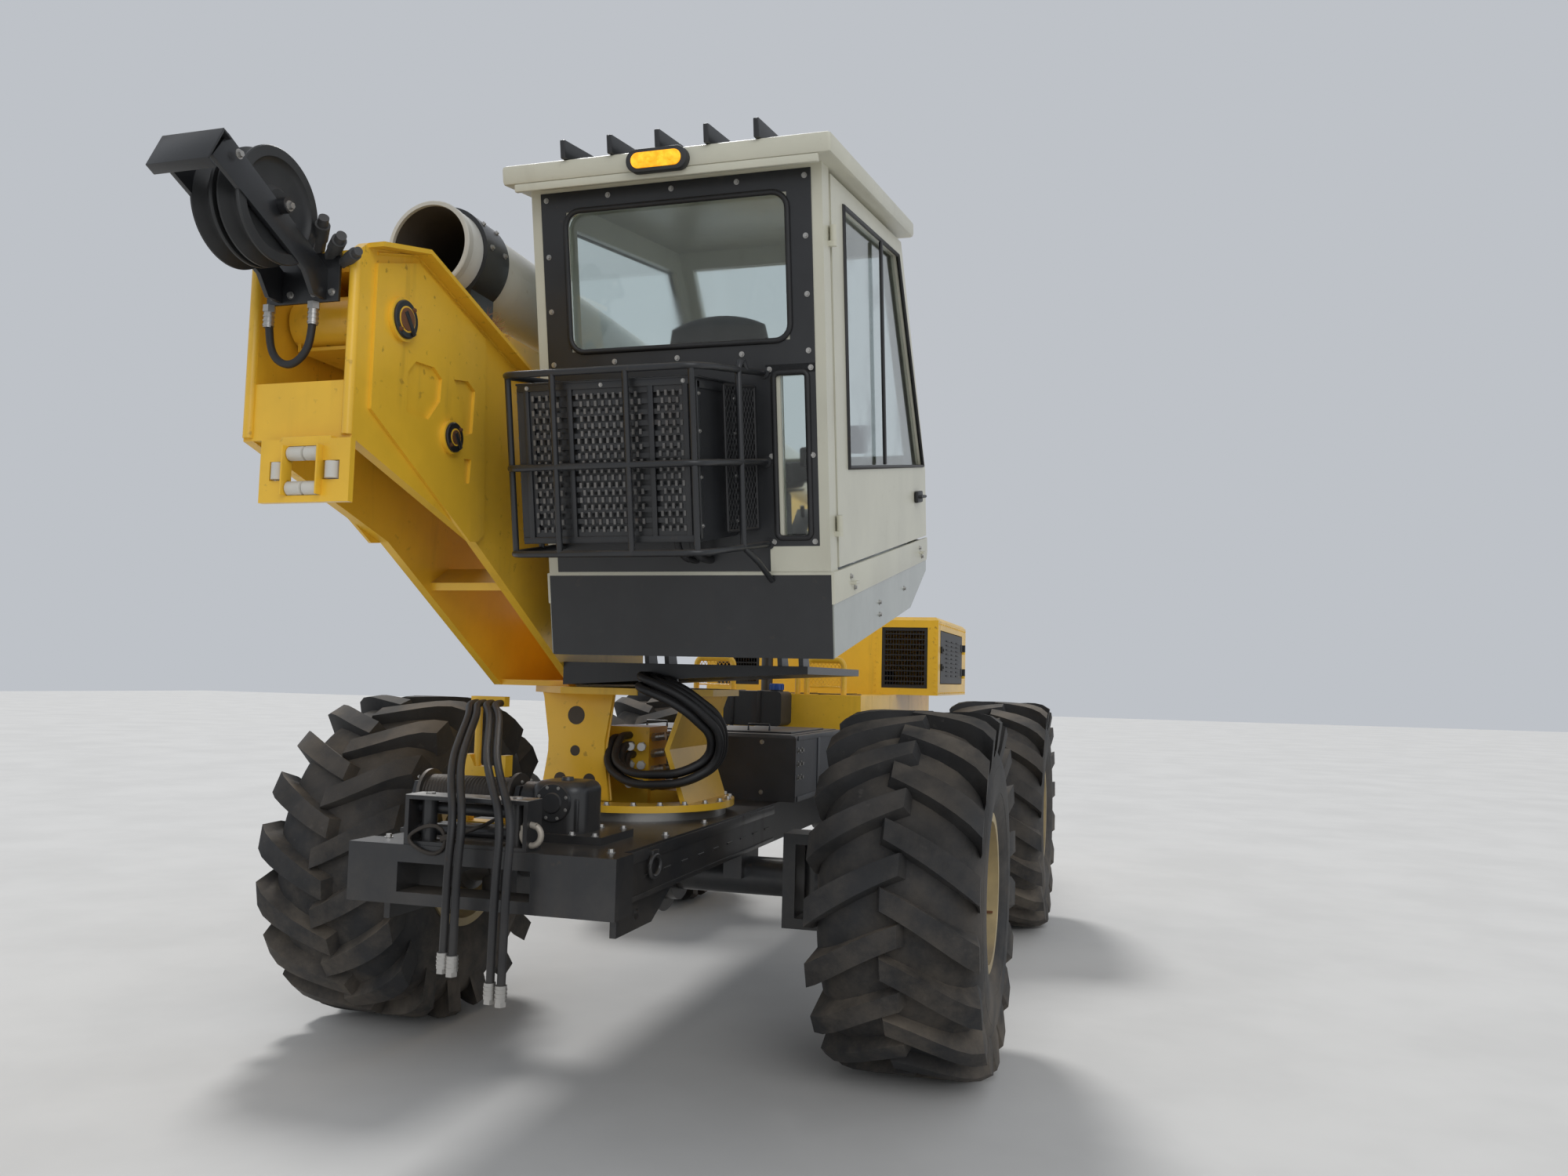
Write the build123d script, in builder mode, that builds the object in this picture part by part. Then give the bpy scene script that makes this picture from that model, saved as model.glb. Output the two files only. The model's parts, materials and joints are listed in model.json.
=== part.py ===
from build123d import *
import os
from math import atan2, cos, degrees, hypot, radians, sin, tan

os.makedirs("parts", exist_ok=True)

# Millimetres. X is to the right, Y runs along the stowed boom towards its tip, Z is up from the ground.
# The winch is at the -Y end of the carrier and the engine at the +Y end.
tyre_diameter = 1615
tyre_width = 714
rim_diameter = 660
track = 2660
wheelbase = 3450
tail_reach = 2850  # winch axle back to the end of the sheave bracket
tip_reach = 8600  # winch axle forward to the mouth of the white tube
winch_axle_y = (tail_reach - tip_reach) / 2
engine_axle_y = winch_axle_y + wheelbase
axle_z = tyre_diameter / 2
seat_gap = 0.3  # pieces that seat on each other
run_gap = 6  # pieces that pass each other

# Carrier frame
deck_z = 1110
deck_plate = 12
frame_width = 1000
rail_width = 90
rail_height = 180
winch_overhang = 1650
engine_overhang = 1300
bumper_width = 1080
bumper_height = 215
bumper_depth = 150
rail_bottom_z = deck_z - deck_plate - rail_height
tow_plate = 25
tow_plate_low_z = deck_z - bumper_height - 90
tow_eye_radius = 21
tow_eye_z = tow_plate_low_z + 55
frame_start_y = winch_axle_y - winch_overhang
frame_end_y = engine_axle_y + engine_overhang
frame_length = frame_end_y - frame_start_y
tow_eye_y = frame_start_y + 330

# Axles, knuckles and wheels
kingpin_x = 850
yoke_inner_height = 340
yoke_thickness = 48
yoke_width = 180
kingpin_diameter = 70
axle_tube_diameter = 178
differential_diameter = 400
knuckle_diameter = 150
spindle_diameter = 200
spindle_end_x = 1170
shaft_diameter = 90
shaft_length = 120
rim_width = 630
rim_wall = 14
flange_height = 26
disc_offset = 90
disc_thickness = 18
hub_diameter = 300
hub_reach = 230
tyre_wall = 38
sidewall_bulge = 110
shoulder_drop = 95

# Slewing upper part
slew_y = winch_axle_y - 250
slew_ring_radius = 430
slew_ring_bore = 320
slew_ring_height = 40
pedestal_base_radius = 470
pedestal_plate = 30
pedestal_top_z = 1690
pedestal_top_radius = 480
pedestal_web = 24
manifold_half = 110
manifold_top_z = 1509

# Boom, tube and lift cylinder
boom_x = -370
boom_width = 300
boom_wall = 12
boom_axis_z = 2985
boom_reach = 5250
boom_end_y = winch_axle_y + boom_reach
pivot_y = winch_axle_y - 2050
pivot_z = 2940
pivot_diameter = 90
boom_start_y = pivot_y - 50
fork_width = 420
fork_plate = 38
tube_diameter = 355
tube_wall = 14
tube_axis_z = 3392
tube_start_y = winch_axle_y - 1580
tube_end_y = winch_axle_y + tip_reach
lift_foot_y = winch_axle_y - 1720
lift_foot_z = 2600
lift_eye_y = winch_axle_y + 350
lift_eye_z = 2748
lift_pin_diameter = 64
barrel_diameter = 138
barrel_length = 1500
rod_diameter = 76

# Cab, tilted nose up on its rear hinge
cab_x = 584
cab_hinge_y = winch_axle_y - 1127
cab_hinge_z = 1825
cab_tilt = 10.5
cab_pin_ahead = 420  # hinge pin from the cab's rear face, inside the belly
cab_pin_up = 60
cab_pin_diameter = 40
cab_pin_y = cab_hinge_y + cab_pin_ahead * cos(radians(cab_tilt)) - cab_pin_up * sin(radians(cab_tilt))
cab_pin_z = cab_hinge_z + cab_pin_ahead * sin(radians(cab_tilt)) + cab_pin_up * cos(radians(cab_tilt))
cab_lug_x = 300
cab_width = 1170
cab_base_height = 320
cab_length = 2150
cab_roof_length = 1530
cab_waist = 700
cab_wall_top = 1830
cab_skin = 45
roof_height = 115
roof_overhang = 65
roof_rear_overhang = 114
pane = 6

# Saw head below the tube's tip
saw_pivot_y = winch_axle_y + tip_reach - 450
saw_pivot_z = tube_axis_z - 330
saw_arm_length = 780
saw_blade_diameter = 610
saw_plane_x = boom_x - 245

# Sheaves at the tail
sheave_y = winch_axle_y - 2507
sheave_z = 3170
sheave_diameter = 360
sheave_width = 80
sheave_spacing = 96
sheave_pin_diameter = 50


def level(z):
    """Horizontal sketch plane at height z."""
    return Plane.XY.offset(z)


def across(y):
    """Upright sketch plane across the machine at y, drawn in x and z."""
    return Plane.XZ.offset(-y)


def along(x):
    """Upright sketch plane along the machine at x, drawn in y and z."""
    return Plane.YZ.offset(x)


def placed(place, plane):
    """The plane moved into a tilted piece's own frame."""
    return Plane(place * plane.location)


def save(piece, name):
    piece.part.label = name
    export_step(piece.part, f"parts/{name}.step")


def block(x, y, z, width, length, height, mode=Mode.ADD):
    """Box from its low z face, centred on x and y."""
    with Locations((x, y, z)):
        Box(width, length, height, align=(Align.CENTER, Align.CENTER, Align.MIN), mode=mode)


def bar_x(x0, x1, y, z, diameter, mode=Mode.ADD):
    """Round bar along X from x0 to x1."""
    with Locations(Location(((x0 + x1) / 2, y, z), (0, 90, 0))):
        Cylinder(diameter / 2, abs(x1 - x0), mode=mode)


def easy_bends(points):
    """Radii that let a hose turn gently at each inner point of its route."""
    runs = [(Vector(*b) - Vector(*a)) for a, b in zip(points, points[1:])]
    return [0.45 * min(a.length, b.length) / tan(radians(a.get_angle(b)) / 2) for a, b in zip(runs, runs[1:])]


# Carrier frame: two rails, deck, bumper with a recess, cross members and tow rings
frame_mid_y = (frame_start_y + frame_end_y) / 2
with BuildPart() as chassis_frame:
    block(0, frame_mid_y, deck_z - deck_plate, frame_width, frame_length, deck_plate)
    for side in (-1, 1):
        block(side * (frame_width - rail_width) / 2, frame_mid_y, rail_bottom_z,
              rail_width, frame_length, rail_height)
    for member_y in (winch_axle_y - 700, winch_axle_y + 420, winch_axle_y + 1500, engine_axle_y - 420, frame_end_y - 60):
        block(0, member_y, rail_bottom_z, frame_width, 120, rail_height)
    with BuildSketch(across(frame_start_y + bumper_depth)):
        with Locations((0, deck_z - bumper_height / 2)):
            Rectangle(bumper_width, bumper_height)
        with Locations((-60, deck_z - bumper_height / 2 - 10)):
            Rectangle(bumper_width * 0.5, bumper_height * 0.5, mode=Mode.SUBTRACT)
    extrude(amount=bumper_depth)
    for side in (-1, 1):
        with BuildSketch(along(side * (bumper_width / 2 - 60))):
            with BuildLine():
                Polyline((frame_start_y + bumper_depth, tow_plate_low_z), (frame_start_y + 480, tow_plate_low_z),
                         (frame_start_y + 700, rail_bottom_z), (frame_start_y + bumper_depth, rail_bottom_z),
                         close=True)
            make_face()
            with Locations((tow_eye_y, tow_eye_z)):
                Circle(tow_eye_radius, mode=Mode.SUBTRACT)
        extrude(amount=-side * tow_plate)
save(chassis_frame, "chassis_frame")

# Steel box across the deck, behind the slewing ring
box_width = 1170
box_length = 1040
box_height = 340
box_y = winch_axle_y + 990
with BuildPart() as deck_box:
    block(0, box_y, deck_z, box_width, box_length, box_height)
    chamfer(deck_box.edges().group_by(Axis.Z)[-1], 12)
save(deck_box, "deck_box")

# Steered axles, each a tube with a differential and a yoke at each end
pad_height = rail_bottom_z - axle_z


def make_axle(name, y):
    with BuildPart() as axle:
        bar_x(-kingpin_x + 130, kingpin_x - 130, y, axle_z, axle_tube_diameter)
        with Locations(Location((0, y, axle_z), (0, 90, 0))):
            Cylinder(differential_diameter / 2, 150)
            Cylinder(differential_diameter / 2 - 60, 300)
        for side in (-1, 1):
            block(side * (frame_width - rail_width) / 2, y, axle_z, rail_width, 260, pad_height)
            block(side * (kingpin_x - 130), y, axle_z - yoke_inner_height / 2 - yoke_thickness, 60, yoke_width,
                  yoke_inner_height + 2 * yoke_thickness)
            for low in (-yoke_inner_height / 2 - yoke_thickness, yoke_inner_height / 2):
                block(side * (kingpin_x - 35), y, axle_z + low, 230, yoke_width, yoke_thickness)
        with BuildSketch(level(axle_z - yoke_inner_height)):
            with Locations((-kingpin_x, y), (kingpin_x, y)):
                Circle(kingpin_diameter / 2 + seat_gap)
        extrude(amount=2 * yoke_inner_height, mode=Mode.SUBTRACT)
    save(axle, name)


def wheel_plane(side, y):
    """Plane through the wheel's axle, drawn outwards and up."""
    return Plane(origin=(side * track / 2, y, axle_z), x_dir=(side, 0, 0), z_dir=(0, -side, 0))


def make_knuckle(name, side, y):
    inner = kingpin_x - track / 2
    spindle_x = spindle_end_x - track / 2
    with BuildPart() as knuckle:
        with BuildSketch(level(axle_z - yoke_inner_height / 2 + seat_gap)):
            with Locations((side * kingpin_x, y)):
                Circle(knuckle_diameter / 2)
        extrude(amount=yoke_inner_height - 2 * seat_gap)
        with BuildSketch(level(axle_z - yoke_inner_height / 2 - yoke_thickness)):
            with Locations((side * kingpin_x, y)):
                Circle(kingpin_diameter / 2)
        extrude(amount=yoke_inner_height + 2 * yoke_thickness)
        with BuildSketch(wheel_plane(side, y)):
            with BuildLine():
                Polyline((inner, 0), (inner, 110), (inner + 120, 130), (inner + 130, 170), (inner + 160, 170),
                         (inner + 170, spindle_diameter / 2), (spindle_x, spindle_diameter / 2),
                         (spindle_x, shaft_diameter / 2), (spindle_x + shaft_length, shaft_diameter / 2),
                         (spindle_x + shaft_length, 0), close=True)
            make_face()
        revolve(axis=Axis((0, y, axle_z), (1, 0, 0)))
    save(knuckle, name)


def make_rim(name, side, y):
    rim_radius = rim_diameter / 2
    half = rim_width / 2
    hub_back = spindle_end_x - track / 2 + run_gap
    bore_radius = shaft_diameter / 2 + seat_gap
    bore_end = hub_back + shaft_length
    with BuildPart() as rim:
        with BuildSketch(wheel_plane(side, y)):
            with BuildLine():
                Polyline((-half, rim_radius - rim_wall), (-half, rim_radius + flange_height),
                         (-half + rim_wall, rim_radius + flange_height), (-half + rim_wall, rim_radius),
                         (half - rim_wall, rim_radius), (half - rim_wall, rim_radius + flange_height),
                         (half, rim_radius + flange_height), (half, rim_radius - rim_wall),
                         (disc_offset + disc_thickness, rim_radius - rim_wall),
                         (disc_offset + disc_thickness, hub_diameter / 2),
                         (hub_reach - 30, hub_diameter / 2), (hub_reach, hub_diameter / 2 - 45), (hub_reach, 0),
                         (bore_end, 0), (bore_end, bore_radius), (hub_back, bore_radius),
                         (hub_back, hub_diameter / 2), (disc_offset, hub_diameter / 2),
                         (disc_offset, rim_radius - rim_wall), close=True)
            make_face()
        revolve(axis=Axis((0, y, axle_z), (1, 0, 0)))
    save(rim, name)


def make_tyre(name, side, y):
    radius = tyre_diameter / 2
    bead_radius = rim_diameter / 2 + seat_gap
    bead_x = rim_width / 2 - rim_wall - seat_gap
    flange_top = rim_diameter / 2 + flange_height + 4
    half = tyre_width / 2
    outer = [(bead_x, bead_radius), (bead_x, flange_top), (half, flange_top + sidewall_bulge),
             (half, radius - shoulder_drop - 90), (half - 30, radius - shoulder_drop / 2), (half - 70, radius)]
    inner = [(bead_x - tyre_wall, bead_radius - 20), (bead_x - tyre_wall, flange_top + 20),
             (half - tyre_wall, flange_top + sidewall_bulge + 10), (half - tyre_wall, radius - shoulder_drop - 110),
             (half - 100, radius - shoulder_drop)]
    with BuildPart() as tyre:
        with BuildSketch(wheel_plane(side, y)):
            with BuildLine():
                Polyline(*outer, *[(-x, r) for x, r in reversed(outer)], close=True)
            make_face()
            with BuildLine():
                Polyline(*inner, *[(-x, r) for x, r in reversed(inner)], close=True)
            make_face(mode=Mode.SUBTRACT)
        revolve(axis=Axis((0, y, axle_z), (1, 0, 0)))
    save(tyre, name)


for end, y in (("winch", winch_axle_y), ("engine", engine_axle_y)):
    make_axle(f"{end}_axle", y)
    for hand, side in (("left", -1), ("right", 1)):
        make_knuckle(f"knuckle_{end}_{hand}", side, y)
        make_rim(f"rim_{end}_{hand}", side, y)
        make_tyre(f"tyre_{end}_{hand}", side, y)

# Winch on the near deck
winch_y = winch_axle_y - 1230
winch_z = 1255
drum_x0 = -480
drum_x1 = -68
drum_diameter = 100
flange_diameter = 192
gear_x = 135
gear_width = 232
gear_top_z = 1333
with BuildPart() as winch_housing:
    for plate_x in (drum_x0 - 30, drum_x1 + 10):
        with BuildSketch(along(plate_x)):
            with BuildLine():
                Polyline((winch_y - 130, deck_z), (winch_y + 130, deck_z), (winch_y + 60, winch_z + 50),
                         (winch_y - 60, winch_z + 50), close=True)
            make_face()
            with Locations((winch_y, winch_z)):
                Circle(31 + seat_gap, mode=Mode.SUBTRACT)
        extrude(amount=20)
    block((drum_x0 + drum_x1) / 2, winch_y, deck_z, drum_x1 - drum_x0 + 80, 260, 16)
    block(gear_x + 18, winch_y, deck_z, 404, 300, 30)
    with BuildSketch(level(deck_z + 30)):
        with Locations((gear_x, winch_y)):
            RectangleRounded(gear_width, gear_width, 70)
    extrude(amount=gear_top_z - deck_z - 30)
    fillet(winch_housing.edges().group_by(Axis.Z)[-1], 40)
    bar_x(drum_x1 + 34, gear_x, winch_y, winch_z, 130)
save(winch_housing, "winch_housing")

with BuildPart() as winch_drum:
    bar_x(drum_x0, drum_x1, winch_y, winch_z, drum_diameter)
    for x0 in (drum_x0, drum_x1 - 14):
        bar_x(x0, x0 + 14, winch_y, winch_z, flange_diameter)
    bar_x(drum_x0 - 30, drum_x1 + 28, winch_y, winch_z, 62)
save(winch_drum, "winch_drum")

# Roller fairlead at the bumper
fairlead_x = -62
fairlead_width = 500
fairlead_y = frame_start_y + 60
fairlead_height = 165
with BuildPart() as fairlead:
    block(fairlead_x, fairlead_y, deck_z, fairlead_width, 110, 14)
    block(fairlead_x, fairlead_y, deck_z + fairlead_height, fairlead_width, 110, 14)
    for side in (-1, 1):
        block(fairlead_x + side * (fairlead_width / 2 - 8), fairlead_y, deck_z, 16, 110, fairlead_height)
        with Locations((fairlead_x + side * (fairlead_width / 2 - 70), fairlead_y, deck_z)):
            Cylinder(28, fairlead_height, align=(Align.CENTER, Align.CENTER, Align.MIN))
    for roller_z in (deck_z + 50, deck_z + fairlead_height - 36):
        bar_x(fairlead_x - fairlead_width / 2, fairlead_x + fairlead_width / 2, fairlead_y + 30, roller_z, 46)
save(fairlead, "fairlead")

# Slewing ring on the deck
with BuildPart() as slew_ring:
    with BuildSketch(level(deck_z)):
        with Locations((0, slew_y)):
            Circle(slew_ring_radius)
            Circle(slew_ring_bore, mode=Mode.SUBTRACT)
    extrude(amount=slew_ring_height)
save(slew_ring, "slew_ring")

# Pedestal: base ring, braced webs and top plate, with the hose manifold in the middle
pedestal_base_z = deck_z + slew_ring_height + seat_gap
web_low = pedestal_base_z + pedestal_plate
web_high = pedestal_top_z - pedestal_plate
with BuildPart() as pedestal:
    with BuildSketch(level(pedestal_base_z)):
        with Locations((0, slew_y)):
            Circle(pedestal_base_radius)
            Circle(slew_ring_bore, mode=Mode.SUBTRACT)
    extrude(amount=pedestal_plate)
    with BuildSketch(level(web_high)):
        with Locations((0, slew_y)):
            RegularPolygon(pedestal_top_radius, 8, rotation=22.5)
    extrude(amount=pedestal_plate)
    web_mid = (web_low + web_high) / 2
    for side in (-1, 1):
        with BuildSketch(across(slew_y + 270)):
            with BuildLine():
                Polyline((side * 360, web_low), (side * 275, web_mid), (side * 360, web_high),
                         (side * (360 - pedestal_web), web_high), (side * (275 - pedestal_web), web_mid),
                         (side * (360 - pedestal_web), web_low), close=True)
            make_face()
        extrude(amount=540)
    block(0, slew_y, pedestal_base_z, 2 * manifold_half, 2 * manifold_half, manifold_top_z - pedestal_base_z)
    block(0, slew_y, pedestal_base_z, 680, 150, 70)
save(pedestal, "pedestal")

# Gooseneck turret: two side plates and what joins them
turret_front_y = slew_y + 420
turret_low_z = pedestal_top_z
tail_low_z = 2490
side_outline = [(pivot_y - 215, tail_low_z), (pivot_y - 215, 3115), (pivot_y - 180, 3145), (winch_axle_y - 1960, 3215),
                (winch_axle_y - 1221, 2990), (winch_axle_y - 800, 2860), (turret_front_y, 2050),
                (turret_front_y, turret_low_z), (slew_y - 330, turret_low_z), (winch_axle_y - 1500, 2245)]
flange_thickness = 16
flange_reach = 60
flange_line = side_outline[2:6]
doubler = 12
doubler_outline = ((-2190, 2600), (-1552, 2235), (-1497, 2242), (-1454, 2271), (-1500, 3030), (-1960, 3170),
                   (-2190, 3090))
doubler_pockets = (((-1951, 2822), (-1840, 2830), (-1787, 2800), (-1793, 2717), (-1862, 2636), (-1995, 2634),
                    (-1996, 2775)),
                   ((-1709, 2819), (-1614, 2836), (-1562, 2810), (-1570, 2646), (-1618, 2629), (-1650, 2720)),
                   ((-1619, 2540), (-1569, 2547), (-1576, 2454), (-1603, 2449)))
plate_inner = fork_width / 2 - fork_plate
with BuildPart() as turret:
    for side in (-1, 1):
        with BuildSketch(along(boom_x + side * plate_inner)):
            with BuildLine():
                Polyline(*side_outline, close=True)
            make_face()
            with Locations((pivot_y, pivot_z)):
                Circle(pivot_diameter / 2 + 20)
        extrude(amount=side * fork_plate)
        with BuildSketch(along(boom_x + side * fork_width / 2)):
            with BuildLine():
                Polyline(*flange_line, *[(y, z - flange_thickness) for y, z in reversed(flange_line)], close=True)
            make_face()
        extrude(amount=side * flange_reach)
        with BuildSketch(along(boom_x + side * fork_width / 2)):
            with BuildLine():
                Polyline(*[(winch_axle_y + y, z) for y, z in doubler_outline], close=True)
            make_face()
            for pocket in doubler_pockets:
                with BuildLine():
                    Polyline(*[(winch_axle_y + y, z) for y, z in pocket], close=True)
                make_face(mode=Mode.SUBTRACT)
        extrude(amount=side * doubler)
    block(boom_x, pivot_y - 215 + 15, tail_low_z, fork_width, 30, 190)
    block(boom_x, (slew_y - 330 + turret_front_y) / 2, turret_low_z, fork_width, turret_front_y - slew_y + 330, 25)
    block(boom_x, turret_front_y - 15, turret_low_z, fork_width, 30, 360)
    with BuildSketch(along(boom_x)):
        with BuildLine():
            Polyline((winch_axle_y - 1180, 2080), (winch_axle_y - 1050, 2150), (winch_axle_y - 1065, 2180),
                     (winch_axle_y - 1195, 2110), close=True)
        make_face()
    extrude(amount=fork_width / 2, both=True)
    bar_x(boom_x - fork_width / 2 - 38, boom_x + fork_width / 2 + 38, lift_foot_y, lift_foot_z, lift_pin_diameter)
    for side in (-1, 1):
        x0 = boom_x + side * fork_width / 2
        bar_x(x0, x0 + side * 28, pivot_y, pivot_z, pivot_diameter + 60)
        bar_x(x0, x0 + side * 28, lift_foot_y, lift_foot_z, lift_pin_diameter + 60)
    bar_x(boom_x - fork_width / 2 - 38, boom_x + fork_width / 2 + 38, pivot_y, pivot_z, pivot_diameter)
    block(boom_x, pivot_y - 215 + 20, 3055, fork_width, 40, 57)
save(turret, "turret")

# Hose guide of rollers below the fork
guide_x = boom_x + 70
guide_width = 340
guide_height = 205
guide_y = pivot_y - 235
guide_z = tail_low_z - 215
roller_diameter = 46
with BuildPart() as roller_guide:
    with BuildSketch(across(guide_y)):
        with Locations((guide_x, guide_z + guide_height / 2)):
            Rectangle(guide_width, guide_height)
            Rectangle(guide_width - 76, 62, mode=Mode.SUBTRACT)
            Rectangle(126, guide_height - 44, mode=Mode.SUBTRACT)
    extrude(amount=24)
    block(guide_x, guide_y - 12, guide_z, 8, 24, guide_height)
    for roller_z in (guide_z + 46, guide_z + guide_height - 46):
        bar_x(guide_x - 63, guide_x + 63, guide_y - 20, roller_z, roller_diameter)
    for side in (-1, 1):
        block(guide_x + side * 109, guide_y - 20, guide_z + guide_height / 2 - 31, roller_diameter, 40, 62)
    block(guide_x, guide_y, guide_z + guide_height - 20, guide_width - 150, 50,
          tail_low_z - guide_z - guide_height + 20 - seat_gap)
save(roller_guide, "roller_guide")

# Sheave bracket at the fork's tail, and its two sheaves
bracket_foot_y = pivot_y - 215
bracket_low_z = 2935
bracket_tip_y = winch_axle_y - tail_reach
bracket_bar = 16
bracket_inner = sheave_spacing / 2 + sheave_width / 2 + run_gap
bracket_outer = bracket_inner + bracket_bar
with BuildPart() as sheave_bracket:
    for side in (-1, 1):
        with BuildSketch(along(boom_x + side * bracket_inner)):
            with BuildLine():
                Polyline((bracket_foot_y, bracket_low_z), (bracket_foot_y, bracket_low_z + 115), (bracket_tip_y + 80, sheave_z + 144),
                         (bracket_tip_y, sheave_z - 5), (bracket_tip_y + 290, bracket_low_z), close=True)
            make_face()
        extrude(amount=side * bracket_bar)
    with BuildSketch(along(boom_x)):
        with BuildLine():
            Polyline((bracket_tip_y + 18, sheave_z + 10), (bracket_tip_y + 72, sheave_z + 122),
                     (bracket_tip_y + 105, sheave_z + 106),
                     (bracket_tip_y + 51, sheave_z - 6), close=True)
        make_face()
        with BuildLine():
            Polyline((bracket_tip_y + 24, sheave_z + 24), (bracket_tip_y + 63, sheave_z + 105),
                     (bracket_tip_y + 94, sheave_z + 90),
                     (bracket_tip_y + 55, sheave_z + 9), close=True)
        make_face(mode=Mode.SUBTRACT)
    extrude(amount=bracket_outer, both=True)
    block(boom_x, bracket_foot_y - 6, bracket_low_z + 5, 2 * bracket_outer + 60, 12, 165)
    bar_x(boom_x - bracket_outer - 12, boom_x + bracket_outer + 12, sheave_y, sheave_z, sheave_pin_diameter)
save(sheave_bracket, "sheave_bracket")

for hand, side in (("left", -1), ("right", 1)):
    sheave_x = boom_x + side * sheave_spacing / 2
    with BuildPart() as sheave:
        with BuildSketch(Plane(origin=(sheave_x, sheave_y, sheave_z), x_dir=(1, 0, 0), z_dir=(0, -1, 0))):
            with BuildLine():
                Polyline((-sheave_width / 2, sheave_pin_diameter / 2 + seat_gap),
                         (-sheave_width / 2, sheave_diameter / 2), (-sheave_width / 2 + 8, sheave_diameter / 2),
                         (-10, sheave_diameter / 2 - 34), (10, sheave_diameter / 2 - 34),
                         (sheave_width / 2 - 8, sheave_diameter / 2), (sheave_width / 2, sheave_diameter / 2),
                         (sheave_width / 2, sheave_pin_diameter / 2 + seat_gap), close=True)
            make_face()
        revolve(axis=Axis((sheave_x, sheave_y, sheave_z), (1, 0, 0)))
    save(sheave, f"sheave_{hand}")

# Boom: square box on the pivot, with a ring for the tube at its far end
ring_width = 160
ring_wall = 22
boom_low_z = boom_axis_z - boom_width / 2
boom_top_z = boom_axis_z + boom_width / 2
with BuildPart() as boom_box:
    with BuildSketch(across(boom_end_y)):
        with Locations((boom_x, boom_axis_z)):
            Rectangle(boom_width, boom_width)
            Rectangle(boom_width - 2 * boom_wall, boom_width - 2 * boom_wall, mode=Mode.SUBTRACT)
    extrude(amount=boom_end_y - boom_start_y)
    block(boom_x, boom_end_y - 10, boom_low_z, boom_width, 20, boom_width)
    bar_x(boom_x - boom_width / 2 - 10, boom_x + boom_width / 2 + 10, pivot_y, pivot_z, pivot_diameter + 90)
    bar_x(boom_x - fork_width, boom_x + fork_width, pivot_y, pivot_z, pivot_diameter + 2 * seat_gap, mode=Mode.SUBTRACT)
    for side in (-1, 1):
        with BuildSketch(along(boom_x + side * 55)):
            with BuildLine():
                Polyline((lift_eye_y - 150, boom_low_z + 5), (lift_eye_y - 50, lift_eye_z - 60),
                         (lift_eye_y + 50, lift_eye_z - 60), (lift_eye_y + 150, boom_low_z + 5), close=True)
            make_face()
        extrude(amount=side * 25)
    with BuildSketch(across(boom_end_y - 20)):
        with Locations((boom_x, tube_axis_z)):
            Circle(tube_diameter / 2 + run_gap + ring_wall)
        with Locations((boom_x, (tube_axis_z + boom_top_z) / 2)):
            Rectangle(boom_width - 60, tube_axis_z - boom_top_z)
        with Locations((boom_x, tube_axis_z)):
            Circle(tube_diameter / 2 + run_gap, mode=Mode.SUBTRACT)
    extrude(amount=ring_width)
save(boom_box, "boom_box")

# White insulating tube and the carriage that carries its near end along the boom
with BuildPart() as insulating_tube:
    with BuildSketch(across(tube_end_y)):
        with Locations((boom_x, tube_axis_z)):
            Circle(tube_diameter / 2)
            Circle(tube_diameter / 2 - tube_wall, mode=Mode.SUBTRACT)
    extrude(amount=tube_end_y - tube_start_y)
save(insulating_tube, "insulating_tube")

carriage_y = tube_start_y + 190
carriage_length = 170
carriage_wall = 18
with BuildPart() as tube_carriage:
    with BuildSketch(across(carriage_y + carriage_length / 2)):
        with Locations((boom_x, tube_axis_z)):
            Circle(tube_diameter / 2 + carriage_wall)
        with Locations((boom_x, (tube_axis_z + boom_top_z + seat_gap) / 2)):
            Rectangle(boom_width - 40, tube_axis_z - boom_top_z - seat_gap)
        with Locations((boom_x, tube_axis_z)):
            Circle(tube_diameter / 2 + seat_gap, mode=Mode.SUBTRACT)
    extrude(amount=carriage_length)
save(tube_carriage, "tube_carriage")

# Lift cylinder, pinned in the turret and reaching to the lugs under the boom
lift_length = hypot(lift_eye_y - lift_foot_y, lift_eye_z - lift_foot_z)
lift_slope = degrees(atan2(lift_eye_z - lift_foot_z, lift_eye_y - lift_foot_y))
lift_place = Location((boom_x, lift_foot_y, lift_foot_z), (lift_slope, 0, 0))
eye_width = 90
with BuildPart() as lift_barrel:
    with BuildSketch(placed(lift_place, across(barrel_length))):
        Circle(barrel_diameter / 2)
    extrude(amount=barrel_length - 110)
    with BuildSketch(placed(lift_place, across(130))):
        Rectangle(eye_width, 90)
    extrude(amount=100)
    with BuildSketch(along(boom_x)):
        with Locations((lift_foot_y, lift_foot_z)):
            Circle(70)
    extrude(amount=eye_width / 2, both=True)
    with BuildSketch(along(boom_x)):
        with Locations((lift_foot_y, lift_foot_z)):
            Circle(lift_pin_diameter / 2 + seat_gap)
    extrude(amount=eye_width, both=True, mode=Mode.SUBTRACT)
    with BuildSketch(placed(lift_place, across(barrel_length))):
        Circle(rod_diameter / 2 + seat_gap)
    extrude(amount=barrel_length - 600, mode=Mode.SUBTRACT)
save(lift_barrel, "lift_barrel")

rod_inside = 700
with BuildPart() as lift_rod:
    with BuildSketch(placed(lift_place, across(lift_length - 40))):
        Circle(rod_diameter / 2)
    extrude(amount=lift_length - 40 - barrel_length + rod_inside)
    with BuildSketch(along(boom_x)):
        with Locations((lift_eye_y, lift_eye_z)):
            Circle(56)
    extrude(amount=eye_width / 2, both=True)
save(lift_rod, "lift_rod")

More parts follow.
